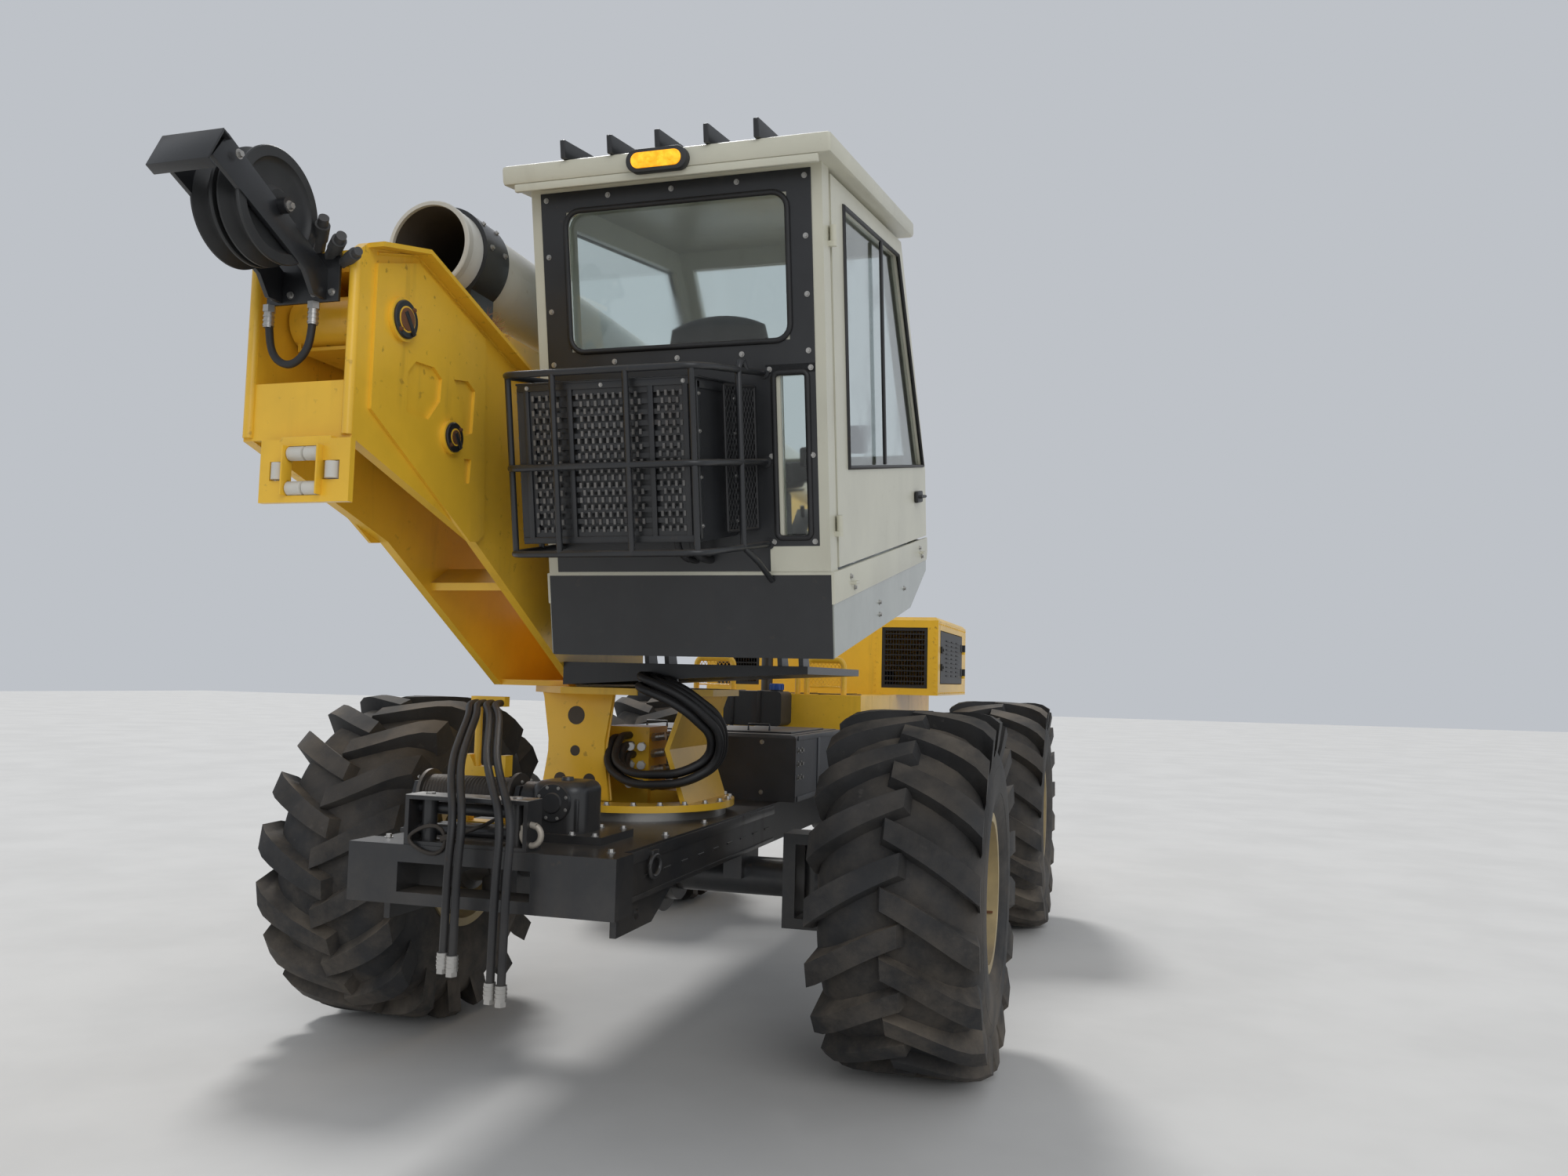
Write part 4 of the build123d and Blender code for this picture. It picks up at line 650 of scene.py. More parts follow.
# Caged unit on the rear wall: slots in its face, casing seams, screen at the side, cage and hoses
unit = {
    "x": (-0.460, 0.220),
    "z": (0.475, 1.046),
    "depth": 0.415,
    "columns": ((-0.400, 4), (-0.225, 9), (0.085, 4)),  # first slot of a column and how many across
    "rows": 19,
    "rowStep": 0.0262,
    "ribX": (-0.425, -0.255, 0.055, 0.185),  # stiffeners between the columns of slots
    "cageLeft": -0.508,
    "cageFront": -0.460,
    "cageCorner": 0.238,
    "cageWall": 0.345,  # where the slanting side meets the wall
    "cageZ": (0.440, 0.750, 1.082),
    "cageBend": 0.07,
}


def makeUnit():
    x0, x1 = unit["x"]
    z0, z1 = unit["z"]
    middleX, middleZ = (x0 + x1) / 2, (z0 + z1) / 2
    face = -unit["depth"] - 0.0003
    bm = bmesh.new()
    for first, across in unit["columns"]:
        for row in range(unit["rows"]):
            for i in range(across):
                x = first + 0.028 * i + 0.014 * (row % 2)
                addBox(bm, (x, face - 0.003, z0 + 0.050 + row * unit["rowStep"]), (0.009, 0.006, 0.019))
    finishPiece("unit_slots", bm, "cab", "fins", 0)
    bm, screws = bmesh.new(), bmesh.new()
    for x in unit["ribX"]:
        addBox(bm, (x, face - 0.004, middleZ), (0.020, 0.008, z1 - z0 - 0.04), 0.002)
    for z in (z0 + 0.012, z1 - 0.012):
        addBox(bm, (middleX, face - 0.004, z), (x1 - x0, 0.008, 0.024), 0.002)
    for x, side in ((x0, -1), (x1, 1)):
        for y in (-0.400, -0.016):
            addBox(bm, (x + side * 0.003, y, middleZ), (0.006, 0.030, z1 - z0 - 0.02), 0.002)
            addBolts(screws, [(x + side * 0.006, y, z) for z in (0.53, 0.70, 0.86, 0.99)], (side, 0, 0), 0.010)
        addBox(bm, (x + side * 0.003, -0.208, z1 - 0.022), (0.006, 0.40, 0.028), 0.002)
    addBox(bm, (middleX, -0.208, z1 + 0.003), (x1 - x0 + 0.012, 0.430, 0.008), 0.003)
    finishPiece("unit_frame", bm, "cab", "black_paint", 30)
    addBolts(screws, [(x, face - 0.008, z1 - 0.012) for x in (-0.42, -0.13, 0.18)], (0, -1, 0), 0.010)
    finishPiece("unit_screws", screws, "cab", "zinc", 30)
    routes = [[(x, -0.12, z0), (x, -0.125, 0.43), (x + 0.02, -0.09, 0.392), (x + 0.03, -0.02, 0.380),
               (x + 0.03, 0.0, 0.380)] for x in (0.02, 0.08)]
    placed = [[tuple(cabPlace @ Vector(point)) for point in route] for route in routes]
    hoseCurve("unit_hoses", placed, 0.014, "cab")


def bendBetween(middle, radii, turns, side):
    # Points on a bar's bend round its middle, towards the left (-1) or the right (1)
    return [(middle[0] + side * radii[0] * (math.cos(a) if side < 0 else math.sin(a)),
             middle[1] - radii[1] * (math.sin(a) if side < 0 else math.cos(a)))
            for a in (math.radians(turn) for turn in turns)]


def makeCage():
    # Screen of stretched metal between the unit and the wall
    bm = bmesh.new()
    foot, along = Vector((0.252, -0.205, 0)), Vector((0.268, 0.963, 0))
    low, high, length = 0.500, 1.030, 0.200
    addLattice(bm, foot, along, length, low, high, (low + high) / 2, 2.0, 0.020, 31, 0.0016)
    for z in (low, high):
        addBar(bm, foot + Vector((0, 0, z)), foot + along * length + Vector((0, 0, z)), 0.006, 8)
    for u in (0, length):
        addBar(bm, foot + along * u + Vector((0, 0, low)), foot + along * u + Vector((0, 0, high)), 0.006, 8)
    finishPiece("cage_screen", bm, "cab", "mesh_steel", 30)
    # Round bars, with the right side slanting out to the wall
    bm = bmesh.new()
    left, front, corner, wall = (unit[key] for key in ("cageLeft", "cageFront", "cageCorner", "cageWall"))
    low, middle, high = unit["cageZ"]
    bend = unit["cageBend"]
    path = [(left, -0.001), (left, front + bend)]
    path += bendBetween((left + bend, front + bend), (bend, bend), (18, 36, 54, 72), -1)
    path += [(left + bend, front), (corner - 0.06, front)]
    path += bendBetween((corner - 0.06, front + 0.06), (0.075, 0.06), (18, 36, 54, 70), 1)
    path += [(corner + 0.028, front + 0.085), (wall, -0.001)]
    for z in (low, middle, high):
        addTube(bm, [(x, y, z) for x, y in path], 0.0125, 12)
    for x, y in ((left + 0.012, front + 0.04), (-0.300, front), (-0.020, front),
                 (corner - 0.018, front + 0.014), (left, -0.20)):
        addBar(bm, (x, y, low), (x, y, high), 0.0115, 12)
    post = Vector((0.305, -0.190, 0))  # its top loops over, and its foot is strutted to the cab's base
    loop = ((0, 0, low), (0, 0, 1.085), (0.004, 0.015, 1.112), (0.008, 0.034, 1.112), (0.012, 0.050, 1.085))
    addTube(bm, [post + Vector(step) for step in loop], 0.0125, 12)
    addTube(bm, [post + Vector((0, 0, low)), (0.330, -0.10, 0.380), (0.352, -0.001, 0.300)], 0.0115, 12)
    for z in (low, middle, high):
        addBar(bm, (wall, -0.012, z), (wall, -0.001, z), 0.022, 16)
    finishPiece("bar_cage", bm, "cab", "black_paint", 50, ("unit_cage",))


# Inside of the cab: padded seat, pods with levers, pedals and a screen on the front wall
seat = {
    "floor": 0.320,
    "leverX": 0.345,
    "pedalX": (-0.10, 0.10),
}


def roundedPad(bm, centre, size, bulge=0.18):
    # A cube drawn some way towards a ball
    pad = bmesh.new()
    bmesh.ops.create_cube(pad, size=1.0)
    bmesh.ops.subdivide_edges(pad, edges=list(pad.edges), cuts=9, use_grid_fill=True)
    for vert in pad.verts:
        p = vert.co * 2
        q = Vector([c * math.sqrt(max(0.0, 1 - (a * a + b * b) / 2 + a * a * b * b / 3))
                    for c, a, b in ((p.x, p.y, p.z), (p.y, p.z, p.x), (p.z, p.x, p.y))])
        vert.co = Vector([v / 2 * s for v, s in zip(p.lerp(q, bulge + 0.25), size)])
    bmesh.ops.translate(pad, vec=centre, verts=pad.verts)
    joinMesh(bm, pad, "pad")


def makeSeat():
    floor, lever = seat["floor"], seat["leverX"]
    bm = bmesh.new()
    addBox(bm, (0, 0.76, floor + 0.15), (0.34, 0.40, 0.298), 0.02)
    addBox(bm, (0, 0.76, floor + 0.305), (0.44, 0.46, 0.012), 0.004)
    for side in (-1, 1):
        addBox(bm, (side * 0.205, 0.62, floor + 0.46), (0.030, 0.060, 0.30), 0.01)
    finishPiece("seat_stand", bm, "cab", "black_plastic", 30)
    bm = bmesh.new()
    roundedPad(bm, (0, 0.80, floor + 0.366), (0.50, 0.52, 0.115))
    roundedPad(bm, (0, 0.490, floor + 0.72), (0.470, 0.125, 0.66), 0.22)
    for side in (-1, 1):
        roundedPad(bm, (side * 0.215, 0.83, floor + 0.385), (0.080, 0.46, 0.100))
        roundedPad(bm, (side * 0.195, 0.515, floor + 0.66), (0.080, 0.110, 0.46))
    cushion = finishPiece("seat_pads", bm, "cab", "seat_fabric", 60, ("seat",))
    bm = bmesh.new()
    for x in (-lever, lever):
        addBox(bm, (x, 0.86, floor + 0.45), (0.110, 0.40, 0.090), 0.012)
        addBox(bm, (x, 0.80, floor + 0.20), (0.070, 0.16, 0.42), 0.010)
        addBar(bm, (x, 1.00, floor + 0.495), (x, 1.02, floor + 0.60), 0.010, 12)
        addBar(bm, (x, 1.02, floor + 0.59), (x, 1.03, floor + 0.70), 0.022, 20, 0.026)
        addBar(bm, (x, 0.995, floor + 0.494), (x, 1.004, floor + 0.535), 0.034, 24, 0.014)
    for x in seat["pedalX"]:
        addBar(bm, (x, 1.42, floor + 0.02), (x, 1.38, floor + 0.22), 0.011, 10)
        addBox(bm, (x, 1.36, floor + 0.14), (0.085, 0.20, 0.012), 0.003,
               Matrix.Rotation(math.radians(35), 3, "X"))
    addBox(bm, (0.30, 1.52, 0.86), (0.20, 0.035, 0.14), 0.008)  # screen
    finishPiece("cab_controls", bm, "cab", "black_plastic", 30)


makeRearPanel()
makeRoof()
makeLamp()
makeCabSides()
makeUnit()
makeCage()
makeSeat()
print("cab trimmed")

# Tail of the turret: keeper discs on the pins, hose guide with its rollers, sheaves and their bracket
tailLow = corners("turret")[0]
guideLow, guideHigh = corners("roller_guide")
bracketLow, bracketHigh = corners("sheave_bracket")
tail = {
    "plates": (boomX - 0.191, boomX + 0.191),  # middles of the two side plates
    "pinFace": 0.238,  # boom middle to the faces of the welded bosses
    "pins": ((jointAt("boom_lift"), 0.066, 0.045), (jointAt("lift_barrel_pivot"), 0.055, 0.032)),
    "ridge": ((-2.18, 3.127), (-1.96, 3.197), (-1.225, 2.973), (-0.80, 2.843)),  # flange's weld, from the axle
    "bolts": ((-1.02, 2.62), (-0.66, 2.34), (-0.66, 2.10)),
    "hose": ((-0.128, None), (-0.126, 2.86), (-0.105, 2.765), (-0.035, 2.728), (0.030, 2.775), (0.046, 2.86),
             (0.046, None)),
    "couplings": (((0.040, -2.262, 3.118), (0.105, -2.330, 3.165), 0.021),
                  ((0.090, -2.262, 3.095), (0.165, -2.325, 3.115), 0.021),
                  ((0.140, -2.262, 3.070), (0.215, -2.310, 3.075), 0.018)),
}


def fromTail(x, y, z):
    # Place given from the boom's middle and the winch axle
    return Vector((boomX + x, winchY + y, z))


def makeKeepers():
    discs, pins = bmesh.new(), bmesh.new()
    for side in (-1, 1):
        out = Vector((side, 0, 0))
        for place, radius, pinRadius in tail["pins"]:
            start = Vector((boomX + side * tail["pinFace"], place.y, place.z))
            addBar(discs, start, start + out * 0.006, radius, 40)
            addBar(discs, start + out * 0.006, start + out * 0.009, radius, 40, radius - 0.004)
            addBar(pins, start, start + out * 0.013, pinRadius - 0.004, 32, pinRadius - 0.006)
            addBox(discs, start + out * 0.014 + Vector((0, 0.012, -0.012)), (0.006, 0.018, 2 * pinRadius),
                   0.002, Matrix.Rotation(math.radians(38), 3, "X"))
            addBolts(pins, [start + out * 0.009 + spot for spot in around(2, radius - 0.011, 50)], out, 0.012)
    finishPiece("keeper_discs", discs, "turret", "black_paint")
    finishPiece("pin_ends", pins, "turret", "pin")


def makeTailTrim():
    # Rounded near edges of the side plates and weld beads along the flanges
    bm, bolts = bmesh.new(), bmesh.new()
    for x in tail["plates"]:
        addBar(bm, (x, tailLow.y + 0.001, 2.500), (x, tailLow.y + 0.001, 3.105), 0.0188, 20)
    for side in (-1, 1):
        addTube(bm, [fromTail(side * 0.2105, y, z) for y, z in tail["ridge"]], 0.006, 6)
        addTube(bm, [fromTail(side * 0.1705, y, z) for y, z in ((-1.18, 2.082), (-1.05, 2.150))], 0.005, 6)
        addBolts(bolts, [fromTail(side * 0.210, y, z) for y, z in tail["bolts"]], (side, 0, 0), 0.016)
    finishPiece("tail_edges", bm, "turret", "yellow_paint")
    finishPiece("tail_bolts", bolts, "turret", "zinc")
    # The hose hangs from the bracket's foot plate, clear of the boom's end when the boom is up
    y, top = tailLow.y - 0.011, bracketLow.z + 0.006
    route = [(boomX + x, y, z or top) for x, z in tail["hose"]]
    hoseCurve("tail_hose", [route], 0.013, "turret")
    ferrules("tail_fittings", [(route[0], (0, 0, -1)), (route[-1], (0, 0, -1))], "turret", 0.0165, 0.075)
    bm = bmesh.new()
    for start, end, radius in tail["couplings"]:
        a, b = fromTail(*start), fromTail(*end)
        addBar(bm, a, b, radius, 6)
        addBar(bm, a.lerp(b, 0.55), a.lerp(b, 1.15), radius * 1.15, 20)
        addBar(bm, a.lerp(b, 1.15), a.lerp(b, 1.45), radius * 0.8, 20)
    finishPiece("tail_couplings", bm, "turret", "cast_iron")


guide = {
    "height": 0.205,
    "rim": 0.022,
    "post": 0.038,
    "cheek": 0.107,  # from the outside to the inner edge of the fill beside the slots
    "slotEdge": 0.0715,
    "rollerRadius": 0.023,
}


def makeGuide():
    bm = bmesh.new()
    middle = (guideLow + guideHigh) / 2
    y, rollerY = winchY - 2.297, winchY - 2.303
    rim, post, cheek, radius = (guide[key] for key in ("rim", "post", "cheek", "rollerRadius"))
    x0, x1, z0, z1 = guideLow.x, guideHigh.x, guideLow.z, guideLow.z + guide["height"]
    slotLow, slotHigh = z0 + guide["slotEdge"], z1 - guide["slotEdge"]
    bars = [(x0, x1, z0, z0 + rim), (x0, x1, z1 - rim, z1)]
    for a, b, c in ((x0, x0 + post, x0 + cheek), (x1, x1 - post, x1 - cheek)):
        bars += [(a, b, z0 + rim, z1 - rim), (b, c, z0 + rim, slotLow), (b, c, slotHigh, z1 - rim)]
    for a, b, c, d in bars:
        addBox(bm, ((a + b) / 2, y, (c + d) / 2), (abs(b - a), 0.024, d - c))
    for side in (-1, 1):  # cheeks that carry the roller pins
        addBox(bm, (middle.x + side * 0.066, y - 0.016, (z0 + z1) / 2), (0.006, 0.048, z1 - z0 - 2 * rim),
               0.001)
    neck = z1 - 0.02
    addBox(bm, (middle.x, winchY - 2.285, (neck + guideHigh.z) / 2), (0.190, 0.050, guideHigh.z - neck), 0.004)
    finishPiece("guide_frame", bm, "turret", "yellow_paint", 35, ("roller_guide",))
    bm = bmesh.new()
    for side in (-1, 1):
        x = middle.x + side * 0.032
        for z in (z0 + 0.046, z1 - 0.046):
            addBar(bm, (x - 0.027, rollerY, z), (x + 0.027, rollerY, z), radius, 28)
            for end in (-1, 1):
                addBar(bm, (x + end * 0.027, rollerY, z), (x + end * 0.030, rollerY, z), radius, 28,
                       radius - 0.005)
        x = middle.x + side * 0.102
        addBar(bm, (x, rollerY, slotLow + 0.004), (x, rollerY, slotHigh - 0.004), radius, 28)
    finishPiece("guide_rollers", bm, "turret", "nylon")


def makeBracket():
    # Narrow side bars, the channel across their tips, the foot plate with its bolts, and the sheave pin
    bm = bmesh.new()
    footY, tipY, lowZ = bracketHigh.y, bracketLow.y, bracketLow.z
    pin = jointAt("sheave_left_spin")
    bar = [(footY - 0.002, lowZ + 0.012), (footY - 0.002, lowZ + 0.112), (footY - 0.060, lowZ + 0.142),
           (tipY + 0.108, pin.z + 0.124), (tipY + 0.052, pin.z + 0.034), (footY - 0.120, lowZ + 0.075),
           (footY - 0.075, lowZ + 0.012)]
    for side, x in ((-1, bracketLow.x + 0.062), (1, bracketHigh.x - 0.062)):
        addPlate(bm, bar, 0.016, sideFrame(x, side), 0.002)
    up = Vector((0, 0.054, 0.112)).normalized()
    across = Vector((0, up.z, -up.y))
    base = Vector((boomX, tipY + 0.018, pin.z + 0.010))
    turn = Matrix((Vector((1, 0, 0)), across, up)).transposed()
    width = bracketHigh.x - bracketLow.x
    addBox(bm, base + up * 0.062 + across * 0.004, (width - 0.060, 0.007, 0.124), 0.002, turn)
    for offset in (0.0035, 0.1205):
        addBox(bm, base + up * offset + across * 0.020, (width - 0.060, 0.036, 0.007), 0.002, turn)
    addBox(bm, (boomX, footY - 0.006, lowZ + 0.0875), (width, 0.012, 0.165), 0.003)
    addBar(bm, (bracketLow.x + 0.018, pin.y, pin.z), (bracketHigh.x - 0.018, pin.y, pin.z), 0.025, 28)
    finishPiece("sheave_frame", bm, "turret", "black_paint", 35, ("sheave_bracket",))
    bm = bmesh.new()
    addBolts(bm, [(boomX + x, footY - 0.012, lowZ + 0.035) for x in (-0.115, -0.045, 0.045, 0.115)],
             (0, -1, 0), 0.017)
    for side in (-1, 1):
        addBolt(bm, (boomX + side * 0.122, pin.y, pin.z - 0.004), (side, 0, 0), 0.022)
        addBolt(bm, (boomX + side * 0.110, tipY + 0.135, pin.z + 0.070), (side, 0, 0), 0.020)
    finishPiece("bracket_bolts", bm, "turret", "zinc")


sheave = {
    "half": 0.040,
    "radius": 0.180,
    "dish": ((0, 0.0253), (0, 0.050), (0.006, 0.056), (0.016, 0.066), (0.018, 0.128), (0.010, 0.142),
             (0, 0.147)),
}


def makeSheaves():
    half, radius = sheave["half"], sheave["radius"]
    face = [(half - depth, r) for depth, r in sheave["dish"]]  # the side's dish, then the rim and the groove
    face += [(half, radius - 0.003), (half - 0.003, radius), (half - 0.009, radius), (0.013, radius - 0.028),
             (0.006, radius - 0.034)]
    profile = face + [(-x, r) for x, r in reversed(face)]
    for hand in ("left", "right"):
        place = jointAt(f"sheave_{hand}_spin")
        bm = bmesh.new()
        spinProfile(bm, [place + Vector((x, 0, r)) for x, r in profile], place, (1, 0, 0), 96)
        finishPiece(f"dished_sheave_{hand}", bm, f"sheave_{hand}", "sheave", 40, (f"sheave_{hand}",))


tubeEnd = {
    "rim": ((-0.004, -0.016), (-0.004, -0.002), (0, 0.002), (0.030, 0.002), (0.030, -0.012), (0.010, -0.016)),
    # How far the sleeve of painted shade reaches into the tube
    "mouthShadeLength": 1.2,
    "boltTurns": (8, 40, 140, 172),
}


def makeTubeEnd():
    low, high = corners("insulating_tube")
    x, z, radius = (low.x + high.x) / 2, (low.z + high.z) / 2, (high.x - low.x) / 2
    bm = bmesh.new()
    spinProfile(bm, [(x, low.y + y, z + radius + r) for y, r in tubeEnd["rim"]], (x, 0, z), (0, 1, 0), 96)
    finishPiece("tube_rim", bm, "tube", "rim")
    bm = bmesh.new()
    # Dark sleeve inside the tube's mouth: painted shade of its hollow inside
    addBar(bm, (x, low.y + 0.012, z), (x, low.y + tubeEnd["mouthShadeLength"], z), radius - 0.0155, 72, caps=False)
    finishPiece("tube_mouth_shade", bm, "tube", "hole_shade")
    strapLow, strapHigh = corners("tube_carriage")
    bm = bmesh.new()
    for y in (strapLow.y + 0.035, strapHigh.y - 0.035):
        for turn in tubeEnd["boltTurns"]:
            out = Vector((math.cos(math.radians(turn)), 0, math.sin(math.radians(turn))))
            addBolt(bm, Vector((x, y, z)) + out * (radius + 0.018), out, 0.016)
    finishPiece("strap_bolts", bm, "tube", "zinc")


debris = {
    "count": 110,
    "middleY": -1.50,
    "spread": 0.055,
    "band": (0.212, 0.262),  # from the boom's middle, over the flange's edge
    "length": (0.025, 0.060),
}


def makeDebris():
    # Dry needles caught beside the strap, on the turret's flange
    bm = bmesh.new()
    for i in range(debris["count"]):
        y = debris["middleY"] + random.gauss(0, debris["spread"])
        z = 3.215 - (y + 1.96) * 0.3045 + 0.006  # the flange's top falls away forwards
        base = fromTail(random.uniform(*debris["band"]), y, z)
        lean = Vector((random.uniform(-0.4, 0.9), random.uniform(-1, 1), random.uniform(0.0, 0.8))).normalized()
        addBar(bm, base, base + lean * random.uniform(*debris["length"]), 0.0011, 3, 0.0004)
    finishPiece("dry_needles", bm, "turret", "needles", 0)


for makeNext in (makeDebris, makeKeepers, makeTailTrim, makeGuide, makeBracket, makeSheaves, makeTubeEnd):
    makeNext()
print("tail and tube end made")

# Pedestal: the waisted plate on the winch side, ring bolts and the fittings of the hose manifold
pedestal = {
    "baseTop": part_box("pedestal")[0][2] + 0.030,
    "topLow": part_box("pedestal")[1][2] - 0.030,
    "plateY": slewY - 0.270,
    "plateX": (-0.345, 0.0),
    "waistX": (-0.312, -0.030),
    "holes": ((-0.245, 1.270, 0.030), (-0.100, 1.270, 0.030), (-0.175, 1.560, 0.042), (-0.175, 1.400, 0.024)),
    "ringBolts": 24,
    "boltCircle": 0.448,
    "manifoldHalf": 0.110,
}


def makePedestal():
    low, high, y = pedestal["baseTop"], pedestal["topLow"], pedestal["plateY"]
    middle = (low + high) / 2
    (left, right), (waistLeft, waistRight) = pedestal["plateX"], pedestal["waistX"]
    bm = bmesh.new()
    outline = [(left, low), (right, low), (waistRight, middle - 0.03), (waistRight, middle + 0.03),
               (right + 0.005, high), (left, high), (waistLeft, middle + 0.03), (waistLeft, middle - 0.03)]
    addPlate(bm, outline, 0.024, endFrame(y), 0.003)
    for edge, waist in ((left, waistLeft), (right, waistRight)):  # weld beads down the plate's edges
        bead = ((edge, low + 0.002), (waist, middle), (edge, high - 0.002))
        addTube(bm, [(x, y - 0.001, z) for x, z in bead], 0.006, 6)
    finishPiece("waisted_plate", bm, "turret", "yellow_paint")
    bm = bmesh.new()
    # Dark discs on the plate's face where its holes are: painted shade in place of cut holes
    for x, z, radius in pedestal["holes"]:
        addBar(bm, (x, y - 0.0235, z), (x, y - 0.0246, z), radius, 28)
    finishPiece("plate_hole_shade", bm, "turret", "hole_shade")
    bm = bmesh.new()
    ring = around(pedestal["ringBolts"], pedestal["boltCircle"], 7.5, "Z")
    addBolts(bm, [Vector((0, slewY, low)) + spot for spot in ring], (0, 0, 1), 0.022)
    finishPiece("ring_bolts", bm, "turret", "zinc")
    half = pedestal["manifoldHalf"]
    ends = [((half, slewY + dy, 1.235 + row * 0.075), (1, 0, 0.15))
            for row in range(4) for dy in (-0.07, 0.0, 0.07)]
    ends += [((dx, slewY - half, 1.250 + row * 0.085), (0.35, -1, 0))
             for row in range(3) for dx in (0.02, 0.075)]
    ferrules("manifold_fittings", ends, "turret", 0.017, 0.065)


# Winch: rope on the drum, its swaged eye and the hook, covers and bolts
winch = {
    "place": jointAt("winch_spin"),
    "drum": (-0.476, -0.072),
    "flanges": ((-1, -0.470), (1, -0.078)),
    "wraps": 28,
    "gearX": 0.135,
    "footX": (-0.015, 0.075, 0.225, 0.320),
}


def makeWinch():
    centre, gearX = winch["place"], winch["gearX"]
    x0, x1 = winch["drum"]
    pitch = (x1 - x0) / winch["wraps"]
    turns = [math.radians(turn) for turn in (-62, -22, 22, 62)]
    profile = [(x0, 0.049)]
    profile += [(x0 + (i + 0.5) * pitch + math.sin(a) * pitch * 0.5, 0.068 + math.cos(a) * pitch * 0.55)
                for i in range(winch["wraps"]) for a in turns]
    profile.append((x1, 0.049))
    bm = bmesh.new()
    spinProfile(bm, [(x, centre.y, centre.z + r) for x, r in profile], centre, (1, 0, 0), 48, closed=False)
    finishPiece("wound_rope", bm, "winch_drum", "rope", 50)
    bm = bmesh.new()
    for side, x in winch["flanges"]:
        face = Vector((x + side * 0.034, centre.y, centre.z))
        addBolts(bm, [face + spot for spot in around(6, 0.074)], (side, 0, 0), 0.010)
    finishPiece("drum_bolts", bm, "winch_drum", "zinc")
    low, high = corners("winch_housing")
    bm = bmesh.new()
    face = low.y + 0.034
    addBar(bm, (gearX, face, centre.z), (gearX, face - 0.010, centre.z), 0.074, 48, 0.070)
    addBar(bm, (gearX, face - 0.010, centre.z), (gearX, face - 0.018, centre.z), 0.040, 32, 0.036)
    addBar(bm, (gearX, centre.y, high.z - 0.002), (gearX, centre.y, high.z + 0.012), 0.026, 24, 0.022)
    for x in (gearX - 0.100, gearX + 0.100):  # cast ribs at the housing's corners
        addBox(bm, (x, face + 0.002, centre.z - 0.045), (0.012, 0.014, 0.120), 0.003)
    finishPiece("gear_cover", bm, "carrier", "black_paint")
    bm = bmesh.new()
    cover = Vector((gearX, face - 0.009, centre.z))
    addBolts(bm, [cover + spot for spot in around(8, 0.061, 22, "Y")], (0, -1, 0), 0.009)
    feet = [(x, y, deckZ + 0.030) for x in winch["footX"] for y in (low.y + 0.020, high.y - 0.020)]
    addBolts(bm, feet, (0, 0, 1), 0.020)
    finishPiece("winch_bolts", bm, "carrier", "zinc")


def makeFairlead():
    low, high = corners("fairlead")
    middle = (low + high) / 2
    bm = bmesh.new()
    addBox(bm, (middle.x, middle.y, high.z + 0.0015), (high.x - low.x, high.y - low.y, 0.003), 0.001)
    for x in (low.x + 0.070, high.x - 0.070):
        addBar(bm, (x, middle.y, high.z + 0.003), (x, middle.y, high.z + 0.009), 0.018, 24)
    finishPiece("fairlead_top", bm, "carrier", "zinc")
    bm = bmesh.new()
    x, y = low.x, low.y - 0.012
    turns = [math.radians(20 * i) for i in range(18)]
    eye = [(x + 0.105 - 0.075 * math.cos(a), y, 1.135 + 0.048 * math.sin(a) * (1 - 0.35 * math.cos(a)))
           for a in turns]
    addTube(bm, eye, 0.0075, 8, closed=True)
    addBar(bm, (x + 0.165, y, 1.140), (x + 0.250, y, 1.165), 0.0125, 16)
    addTube(bm, [(x + 0.245, y, 1.164), (x + 0.285, y + 0.02, 1.180), (x + 0.300, y + 0.07, 1.190),
                 (x + 0.260, y + 0.30, 1.210)], 0.0075, 8)
    finishPiece("rope_eye", bm, "carrier", "rope", 50)
    bm = bmesh.new()
    centre = Vector((high.x + 0.004, low.y + 0.030, 1.168))
    arc = [centre + 0.037 * Vector((math.cos(math.radians(t)), 0, math.sin(math.radians(t))))
           for t in range(-200, 80, 20)]
    addTube(bm, arc, 0.0115, 10)
    addBar(bm, arc[-1], arc[-1] + Vector((-0.050, 0, 0.010)), 0.0125, 12, 0.010)
    addBar(bm, arc[0] + Vector((0.002, 0, -0.004)), arc[0] + Vector((-0.006, 0, 0.020)), 0.0115, 12, 0.004)
    finishPiece("tow_hook", bm, "carrier", "hook", 50)


# Carrier: ring on the rail, weld beads and bands, bolts and straps of the deck box, wheel nuts
rail = {
    "x": 0.500,
    "ring": (0.052, 0.040),  # half height along the machine and upwards
    "bandMiddle": winchY - 0.55,
    "bandLength": 1.85,
    "beads": 9,
    "beadStep": 0.19,
}


